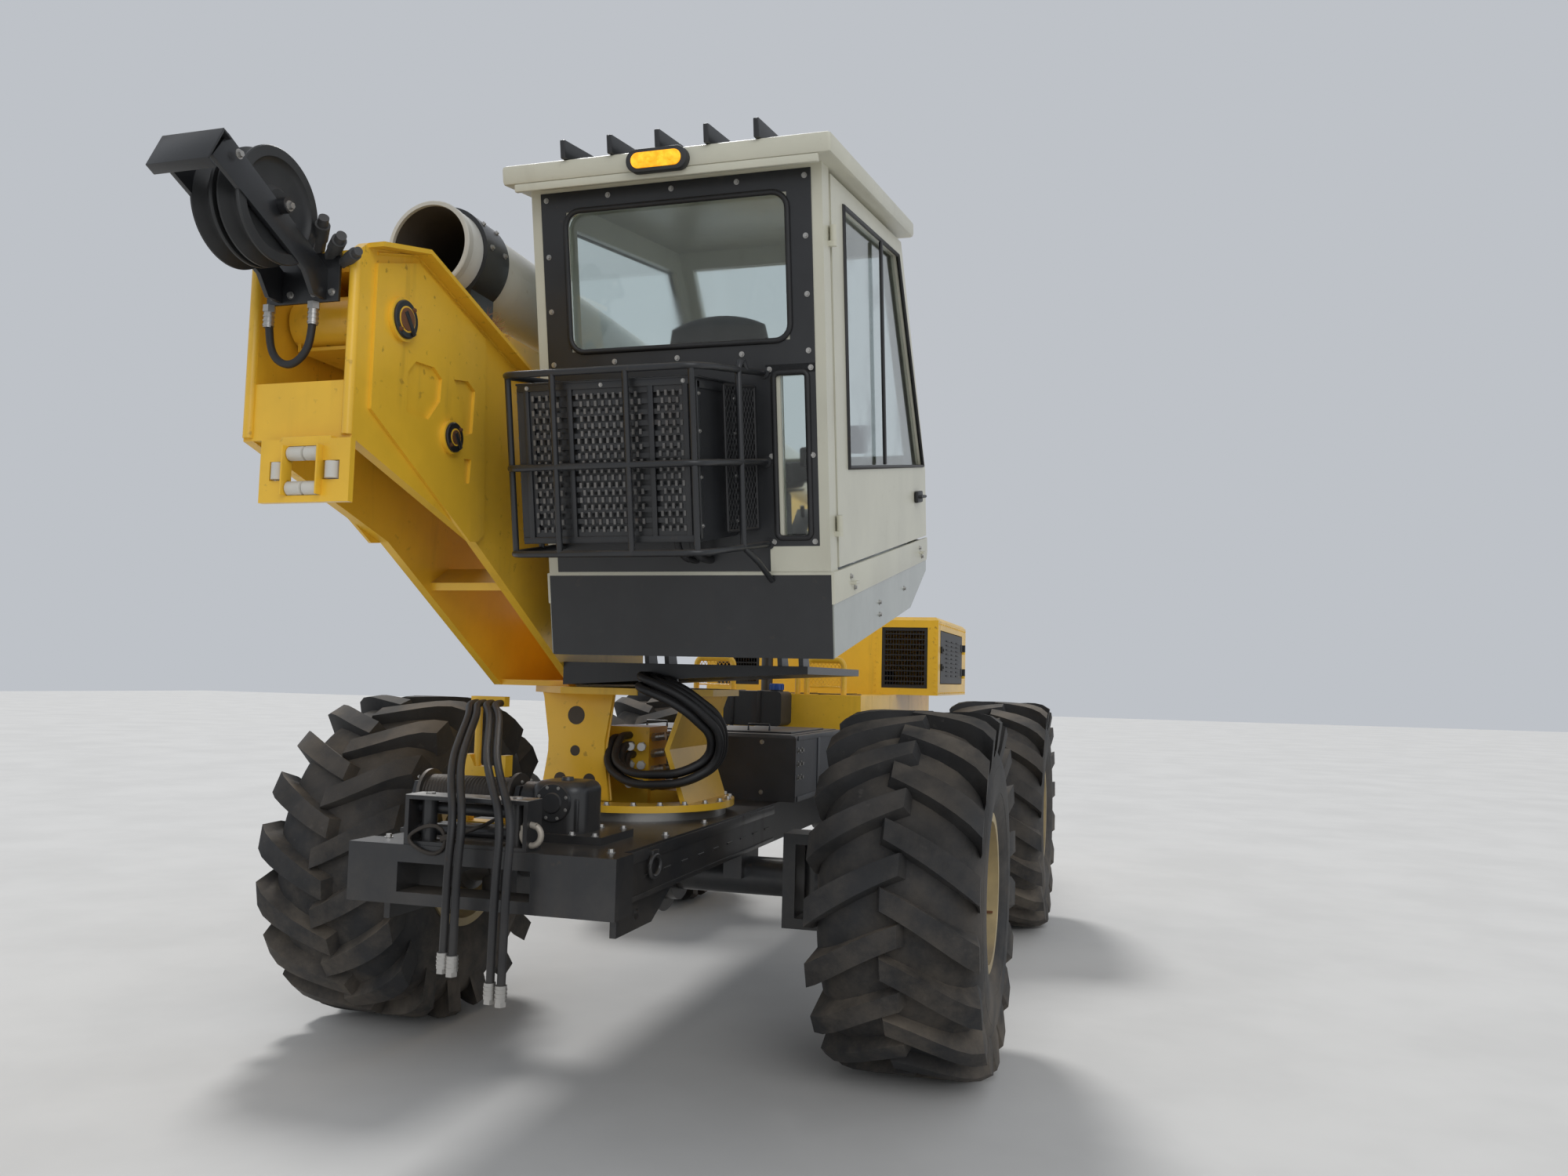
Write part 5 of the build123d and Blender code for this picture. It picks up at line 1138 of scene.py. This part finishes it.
def makeCarrierTrim():
    railX = rail["x"]
    bm = bmesh.new()
    centre = Vector((railX + 0.016, winchY - 1.240, 1.028))
    along, up = rail["ring"]
    ring = [centre + Vector((0, spot.y * along, spot.z * up)) for spot in around(18, 1.0)]
    addTube(bm, ring, 0.0095, 10, closed=True)
    addBox(bm, (railX + 0.010, centre.y, centre.z + 0.046), (0.022, 0.060, 0.030), 0.004)
    for side in (-1, 1):
        for drop, height in ((0.030, 0.044), (0.180, 0.020)):
            addBox(bm, (side * (railX + 0.003), rail["bandMiddle"], deckZ - drop),
                   (0.006, rail["bandLength"], height), 0.002)
        for step in range(rail["beads"]):
            y = winchY - 1.30 + step * rail["beadStep"]
            addBar(bm, (side * railX, y, deckZ - 0.112), (side * railX, y + 0.07, deckZ - 0.112), 0.005, 6)
    finishPiece("rail_bands", bm, "carrier", "black_paint")
    low, high = corners("deck_box")
    middleY, middleZ = (low.y + high.y) / 2, (low.z + high.z) / 2
    bm, straps = bmesh.new(), bmesh.new()
    for side, face in ((-1, low.x), (1, high.x)):
        addBolts(bm, [(face, y, z) for y in (low.y + 0.045, low.y + 0.110, high.y - 0.045)
                      for z in (1.235, 1.305, 1.375)], (side, 0, 0), 0.020)
        for y, z, length, height in ((low.y + 0.46, middleZ, 0.045, 0.30),
                                     (middleY, high.z - 0.012, 0.98, 0.024),
                                     (middleY, low.z + 0.014, 0.98, 0.028)):
            addBox(straps, (face + side * 0.003, y, z), (0.006, length, height), 0.002)
    addBolts(bm, [(x, low.y, z) for x in (-0.50, -0.20, 0.10, 0.40) for z in (low.z + 0.045, high.z - 0.035)],
             (0, -1, 0), 0.016)
    addBolts(bm, [(x, winchY + y, deckZ) for x in (-0.46, 0.46) for y in (-1.52, -1.00, -0.55)],
             (0, 0, 1), 0.022)
    finishPiece("deck_bolts", bm, "carrier", "zinc")
    addBox(straps, (0, middleY, high.z + 0.002), (1.10, 0.98, 0.004), 0.001)
    for x in (-0.30, 0.30):  # two lids, each with a grip
        addBox(straps, (x, middleY, high.z + 0.008), (0.42, 0.70, 0.010), 0.003)
        grip = ((-0.06, 0.012), (-0.06, 0.045), (0.06, 0.045), (0.06, 0.012))
        addTube(straps, [(x + dx, low.y + 0.26, high.z + dz) for dx, dz in grip], 0.007, 8)
    finishPiece("box_straps", straps, "carrier", "grey_steel")


hub = {
    "nuts": (12, 0.108, 0.232, 0.0, 0.030),  # count, how far out, circle, first angle, size
    "capBolts": (8, 0.230, 0.080, 20.0, 0.018),
}


def makeWheelNuts():
    for end in ("winch", "engine"):
        for hand, side in (("left", -1), ("right", 1)):
            centre = jointAt(f"spin_{end}_{hand}")
            bm = bmesh.new()
            for count, out, circle, first, size in (hub["nuts"], hub["capBolts"]):
                face = centre + Vector((side * out, 0, 0))
                addBolts(bm, [face + spot for spot in around(count, circle, first)], (side, 0, 0), size)
            for start, stop, bar in (((0.229, 0, 0), (0.244, 0, 0), (0.045, 32, 0.038)),
                                     ((0.255, 0.272, -0.140), (0.295, 0.268, -0.138), (0.006, 10))):
                ends = [centre + Vector((side * x, y, z)) for x, y, z in (start, stop)]
                addBar(bm, *ends, *bar)
            finishPiece(f"wheel_nuts_{end}_{hand}", bm, f"wheel_{end}_{hand}", "pin")


# Engine end: rivets and seams, screens, catches, the tank's cap and what stands on the low hood
engineEnd = {
    "tallX": 0.900,
    "innerX": 0.430,
    "screenX": 0.477,
    "rivets": 12,
    "rivetStep": 0.044,
    "seamRivets": 16,
    "seamStep": 0.094,
    "seamZ": (1.668, 2.180),
    "wireStep": 0.0215,
    "stack": (-0.28, winchY + 2.75),
    "railMesh": ((-0.553, -0.307), (0.220, 0.454)),
    "railZ": (1.70, 1.86),
    "capX": 0.060,
    "strapX": (-0.20, -0.02),
    "catchZ": (1.86, 1.99),
    "louvres": (9, 3),
}


def makeEngineEnd():
    low = corners("engine_bay")[0]
    grilleLow, grilleHigh = corners("engine_grilles")
    tallX, tallY = engineEnd["tallX"], grilleLow.y - 0.008
    bm, wires = bmesh.new(), bmesh.new()
    for side in (-1, 1):
        rows = [1.675 + row * engineEnd["rivetStep"] for row in range(engineEnd["rivets"])]
        addBolts(bm, [(side * x, tallY, z) for z in rows for x in (tallX - 0.022, engineEnd["innerX"])],
                 (0, -1, 0), 0.009)
        seam = [tallY + 0.05 + step * engineEnd["seamStep"] for step in range(engineEnd["seamRivets"])]
        addBolts(bm, [(side * tallX, y, z) for y in seam for z in engineEnd["seamZ"]], (side, 0, 0), 0.009)
        x0, x1 = sorted((side * engineEnd["screenX"], grilleLow.x if side < 0 else grilleHigh.x))
        for i in range(1, int((x1 - x0) / engineEnd["wireStep"])):
            foot = Vector((x0 + i * engineEnd["wireStep"], grilleLow.y - 0.002, grilleLow.z + 0.02))
            addBar(wires, foot, foot + Vector((0, 0, grilleHigh.z - grilleLow.z - 0.04)), 0.0022, 4)
    finishPiece("bay_rivets", bm, "carrier", "yellow_paint")
    finishPiece("screen_wires", wires, "carrier", "mesh_steel", 30)
    bm = bmesh.new()
    for x in (-0.30, 0.0, 0.30):  # lifting seams and hinges on the low hood
        addBox(bm, (x, (low.y + tallY) / 2, 1.6515), (0.012, tallY - low.y - 0.10, 0.003), 0.001)
    addBox(bm, (0, low.y + 0.30, 1.653), (1.05, 0.030, 0.006), 0.002)
    x, y = engineEnd["stack"]
    addBar(bm, (x, y, 1.650), (x, y, 1.900), 0.042, 28)
    addBar(bm, (x, y, 1.900), (x, y, 1.935), 0.056, 28, 0.040)
    addTube(bm, [(x, y, 1.93), (x, y, 1.98), (x, y + 0.04, 2.02), (x, y + 0.10, 2.035)], 0.032, 16)
    finishPiece("hood_trim", bm, "carrier", "black_paint")
    bm = bmesh.new()
    y = winchY + 2.040
    z0, z1 = engineEnd["railZ"]
    for x0, x1 in engineEnd["railMesh"]:
        addLattice(bm, Vector((x0, y, 0)), Vector((1, 0, 0)), x1 - x0, z0, z1, z0, 1.3, 0.026, 13, 0.0018)
        for z in (z0, z1):
            addBar(bm, (x0 - 0.006, y, z), (x1 + 0.006, y, z), 0.005, 8)
    finishPiece("rail_mesh", bm, "carrier", "yellow_paint")


def makeTankAndDoors():
    low, high = corners("fuel_tank")
    cap = Vector((engineEnd["capX"], (low.y + high.y) / 2, high.z))
    bm = bmesh.new()
    addBar(bm, cap - Vector((0, 0, 0.030)), cap + Vector((0, 0, 0.010)), 0.046, 16, 0.044)
    for spot in around(12, 0.046, 0.0, "Z"):
        addBox(bm, cap + spot - Vector((0, 0, 0.012)), (0.006, 0.006, 0.034), 0.001)
    finishPiece("tank_cap", bm, "carrier", "blueCap")
    bm = bmesh.new()
    for x in engineEnd["strapX"]:
        addBox(bm, (x, low.y - 0.003, 1.556), (0.026, 0.006, 0.226), 0.002)
        addBox(bm, (x, cap.y, 1.668), (0.026, 0.236, 0.005), 0.002)
        addBolt(bm, (x, low.y - 0.006, 1.470), (0, -1, 0), 0.014)
    finishPiece("tank_straps", bm, "carrier", "mesh_steel")
    rows, columns = engineEnd["louvres"]
    for hand, side in (("left", -1), ("right", 1)):
        nearY = corners(f"engine_door_{hand}")[0].y
        x = side * (engineEnd["tallX"] + 0.002)
        bm = bmesh.new()
        for z in engineEnd["catchZ"]:
            addBox(bm, (x + side * 0.006, nearY + 0.07, z), (0.012, 0.110, 0.050), 0.003)
            addBox(bm, (x + side * 0.015, nearY + 0.07, z), (0.008, 0.075, 0.022), 0.002)
        for row in range(rows):  # louvres pressed in the door
            for column in range(columns):
                addBox(bm, (x + side * 0.002, nearY + 0.36 + column * 0.26, 1.80 + row * 0.033),
                       (0.010, 0.20, 0.010), 0.002)
        finishPiece(f"door_catches_{hand}", bm, f"engine_door_{hand}", "mesh_steel")


# Saw: teeth round the blade, its clamp plates and the motor on the arm
saw = {
    "teeth": 48,
    "toothDepth": 0.020,
    "toothTurn": 3.4,
    "clampRadius": 0.062,
    "motorRadius": 0.048,
    "motorRings": (0.048, 0.056, 0.064),
}


def makeSaw():
    low, high = corners("saw_blade")
    centre = jointAt("saw_spin")
    radius = (high.z - low.z) / 2
    root = radius - saw["toothDepth"]
    bm = bmesh.new()
    near = around(saw["teeth"], 1.0)
    far = around(saw["teeth"], 1.0, saw["toothTurn"])
    for a, b in zip(near, far):
        outline = [(centre.y + spot.y * r, centre.z + spot.z * r)
                   for spot, r in ((a, root), (b, root), (b, radius))]
        addPlate(bm, outline, 0.0075, sideFrame(low.x - 0.0008, 1))
    for x in (low.x - 0.010, high.x):
        addBar(bm, (x, centre.y, centre.z), (x + 0.010, centre.y, centre.z), saw["clampRadius"], 32)
    face = Vector((low.x - 0.010, centre.y, centre.z))
    addBolts(bm, [face + spot for spot in around(6, 0.045)], (-1, 0, 0), 0.011)
    finishPiece("saw_teeth", bm, "saw_blade", "zinc", 20)
    armX = corners("saw_arm")[1].x
    bm = bmesh.new()
    addBar(bm, (armX - 0.030, centre.y, centre.z), (armX + 0.045, centre.y, centre.z), saw["motorRadius"], 28)
    for x in saw["motorRings"]:
        addBar(bm, (armX + x - 0.004, centre.y, centre.z), (armX + x, centre.y, centre.z),
               saw["motorRadius"] - 0.002, 28)
    finishPiece("saw_motor", bm, "saw_arm", "black_paint")


for makeNext in (makeEngineEnd, makeTankAndDoors, makeSaw, makePedestal, makeWinch, makeFairlead,
                 makeCarrierTrim, makeWheelNuts):
    makeNext()
print("pedestal, winch and carrier detailed")

# Tyres: a carcass spun from its profile and two rows of curved lugs
tyre = {
    "radius": 0.8075,
    "width": 0.714,
    "rimRadius": 0.330,
    "lugDepth": 0.056,
    "lugsInRow": 18,
    "lugWidth": 0.105,
    "lugSweep": 19.0,  # degrees that a lug runs round the tyre from its inner tip to its end
    "overlap": 0.035,  # how far the inner tips pass the middle
    "inside": ((-0.26, 0.335), (-0.29, 0.56), (0, 0.62), (0.29, 0.56), (0.26, 0.335)),
    "sideRings": (0.452, 0.560),  # radii of the raised rings on the sidewalls
    "spinSteps": 108,
}


def carcassProfile():
    half, radius = tyre["width"] / 2, tyre["radius"] - tyre["lugDepth"]
    bead = tyre["rimRadius"]
    return [(half - 0.058, bead + 0.004), (half - 0.056, bead + 0.030), (half - 0.030, bead + 0.060),
            (half - 0.010, bead + 0.120), (half - 0.006, bead + 0.190), (half - 0.014, bead + 0.265),
            (half - 0.040, bead + 0.330), (half - 0.075, radius - 0.050), (half - 0.130, radius - 0.016),
            (half - 0.220, radius - 0.003), (0.0, radius)]


def surfaceAt(x):
    # Radius of the carcass at x across the tread
    points = carcassProfile()[6:]
    x = abs(x)
    for (x1, r1), (x0, r0) in zip(points, points[1:]):
        if x0 <= x <= x1:
            return r0 + (r1 - r0) * (x - x0) / (x1 - x0)
    return points[0][1]


def addLug(bm, side, turn):
    # A bar from past the middle to the shoulder, curved round the tyre, then down the sidewall
    lug = bmesh.new()
    bmesh.ops.create_cube(lug, size=1.0)
    lengthways = [e for e in lug.edges if abs(e.verts[0].co.x - e.verts[1].co.x) > 0.5]
    bmesh.ops.subdivide_edges(lug, edges=lengthways, cuts=7, use_grid_fill=True)
    half = tyre["width"] / 2
    for vert in lug.verts:
        u, v, top = vert.co.x + 0.5, vert.co.y * 2, vert.co.z > 0
        x = -tyre["overlap"] + (half + tyre["overlap"]) * min(1.0, u / 0.86)
        fall = max(0.0, u - 0.86) / 0.14  # the last stretch goes down the sidewall
        x -= 0.012 * fall if top else 0.030 + 0.010 * fall
        base = surfaceAt(x) - 0.02
        crest = tyre["radius"] - 0.030 * (max(0.0, abs(x) - 0.20) / (half - 0.20)) ** 2
        radius = (crest if top else base) - fall * (0.125 if top else 0.10)
        width = tyre["lugWidth"] * (0.86 + 0.30 * u) * (1.0 if top else 1.28)
        sweep = tyre["lugSweep"] * (0.72 * u + 0.28 * u * u)
        angle = math.radians(turn - sweep) + v * width / 2 / tyre["radius"]
        vert.co = (side * x, -math.cos(angle) * radius, math.sin(angle) * radius)
    joinMesh(bm, lug, "lug")


def makeTyreMesh():
    bm = bmesh.new()
    profile = carcassProfile()
    profile += [(-x, r) for x, r in profile[-2::-1]] + list(tyre["inside"])
    spinProfile(bm, [(x, 0, r) for x, r in profile], (0, 0, 0), (1, 0, 0), tyre["spinSteps"])
    step = 360 / tyre["lugsInRow"]
    for lug in range(tyre["lugsInRow"]):
        addLug(bm, 1, lug * step)
        addLug(bm, -1, (lug + 0.5) * step)
    for side in (-1, 1):  # raised rings on the sidewalls
        for radius in tyre["sideRings"]:
            ring = [(side * (tyre["width"] / 2 - 0.010 + dx), 0, radius + dr)
                    for dx, dr in ((-0.012, -0.010), (0.0, -0.006), (0.0, 0.006), (-0.012, 0.010))]
            spinProfile(bm, ring, (0, 0, 0), (1, 0, 0), tyre["spinSteps"])
    bmesh.ops.recalc_face_normals(bm, faces=bm.faces)
    mesh = bpy.data.meshes.new("tyreShape")
    bm.to_mesh(mesh)
    bm.free()
    return mesh


def makeTyres():
    shape = makeTyreMesh()
    for end in ("winch", "engine"):
        for hand, side in (("left", -1), ("right", 1)):
            bm = bmesh.new()
            bm.from_mesh(shape)
            turn = Matrix.Rotation(math.radians(random.uniform(0, 20)), 4, "X")
            flip = Matrix.Rotation(math.pi, 4, "Z") @ Matrix.Rotation(math.pi, 4, "X") if side < 0 else Matrix()
            place = Matrix.Translation(jointAt(f"spin_{end}_{hand}"))
            bmesh.ops.transform(bm, matrix=place @ turn @ flip, verts=bm.verts)
            finishPiece(f"lugged_tyre_{end}_{hand}", bm, f"wheel_{end}_{hand}", "tyre_rubber", 40,
                        (f"tyre_{end}_{hand}",))


makeTyres()
print("tyres made")

# Hoses cut off over the winch. The route's points are the hose solids' own.
freeHose = {
    "diameter": 0.030,
    "route": ((-1.005, 1.621), (-1.070, 1.616), (-1.180, 1.575), (-1.340, 1.505), (-1.510, 1.422),
              (-1.640, 1.345), (-1.735, 1.230), (-1.752, 1.060), (-1.745, 0.880), (-1.750, 0.700)),
    "tracks": (("free_hose_1", -0.415, -0.059, 0.0), ("free_hose_2", -0.380, -0.022, -0.008),
               ("free_hose_3", -0.344, 0.130, -0.086), ("free_hose_4", -0.302, 0.173, -0.092)),
}


def hosePoints(xStart, xEnd, drop):
    points = []
    for i, (y, z) in enumerate(freeHose["route"]):
        x = xStart + (xEnd - xStart) * max(0, min(1, (i - 1) / 5)) + 0.005 * math.sin(1.3 * i) * min(1, i / 2)
        points.append([x, winchY + y, z + drop * max(0, i - 6) / 3])
    points[0] = [points[1][0], winchY - 1.005, points[1][2]]
    return points


def makeHoses():
    for name, xStart, xEnd, drop in freeHose["tracks"]:
        points = hosePoints(xStart, xEnd, drop)
        hose = hoseCurve("hanging_" + name, [points], freeHose["diameter"] / 2, "carrier", 6, 12)
        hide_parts(name)
        end = Vector(points[-1])
        bm = bmesh.new()
        addBar(bm, end + Vector((0, 0, 0.065)), end + Vector((0, 0, 0.01)), 0.0205, 24)
        for groove in (0.020, 0.034, 0.048):
            addBar(bm, end + Vector((0, 0, groove)), end + Vector((0, 0, groove + 0.005)), 0.0222, 24)
        addBar(bm, end + Vector((0, 0, 0.01)), end + Vector((0, 0, -0.006)), 0.0215, 6)
        ferrule = finishPiece("ferrule_" + name, bm, "carrier", "zinc")


makeHoses()
print("hoses hung")

# Camera, floor and light
view = {
    "place": (2.238, -8.340, 1.746),
    "heading": 16.32,  # degrees left of +Y
    "pitch": 4.42,
    "roll": 1.34,
    "lens": 27.04,
    "lights": (("mainLight", 1.7, 14, (42, 0, -150)),  # name, strength, angle and turn
               ("sideLight", 0.7, 40, (60, 0, 35))),
    "sky": (0.83, 0.87, 0.93, 1),
    "skyStrength": 0.62,
    "floor": (0.60, 0.59, 0.57),
}


def placeCamera():
    heading, pitch, roll = (math.radians(view[key]) for key in ("heading", "pitch", "roll"))
    flat = math.cos(pitch)
    forward = Vector((-math.sin(heading) * flat, math.cos(heading) * flat, math.sin(pitch)))
    level = Vector((math.cos(heading), math.sin(heading), 0))
    up = level.cross(forward)
    right = level * math.cos(roll) + up * math.sin(roll)
    top = up * math.cos(roll) - level * math.sin(roll)
    data = bpy.data.cameras.new("photoView")
    data.lens = view["lens"]
    data.sensor_width = 36
    data.clip_end = 200
    camera = bpy.data.objects.new("photoView", data)
    scene.collection.objects.link(camera)
    turn = Matrix((right, top, -forward)).transposed().to_4x4()
    camera.matrix_world = Matrix.Translation(view["place"]) @ turn
    scene.camera = camera


def placeStage():
    bm = bmesh.new()
    bmesh.ops.create_grid(bm, x_segments=1, y_segments=1, size=60)
    mesh = bpy.data.meshes.new("floor")
    bm.to_mesh(mesh)
    bm.free()
    floor = bpy.data.objects.new("floor", mesh)
    scene.collection.objects.link(floor)
    material, tree, shader = blankMaterial("paleFloor")
    tree.links.new(variedColour(tree, view["floor"], 0.04, 0.8), shader.inputs["Base Color"])
    shader.inputs["Roughness"].default_value = 0.9
    mesh.materials.append(material)
    world = bpy.data.worlds.new("paleRoom")
    world.use_nodes = True
    sky = world.node_tree.nodes["Background"]
    sky.inputs["Color"].default_value = view["sky"]
    sky.inputs["Strength"].default_value = view["skyStrength"]
    scene.world = world
    for name, strength, angle, turn in view["lights"]:
        light = bpy.data.lights.new(name, "SUN")
        light.energy = strength
        light.angle = math.radians(angle)
        lamp = bpy.data.objects.new(name, light)
        lamp.rotation_euler = [math.radians(a) for a in turn]
        scene.collection.objects.link(lamp)


placeCamera()
placeStage()
scene.view_settings.view_transform = "Standard"
print("view and light set")
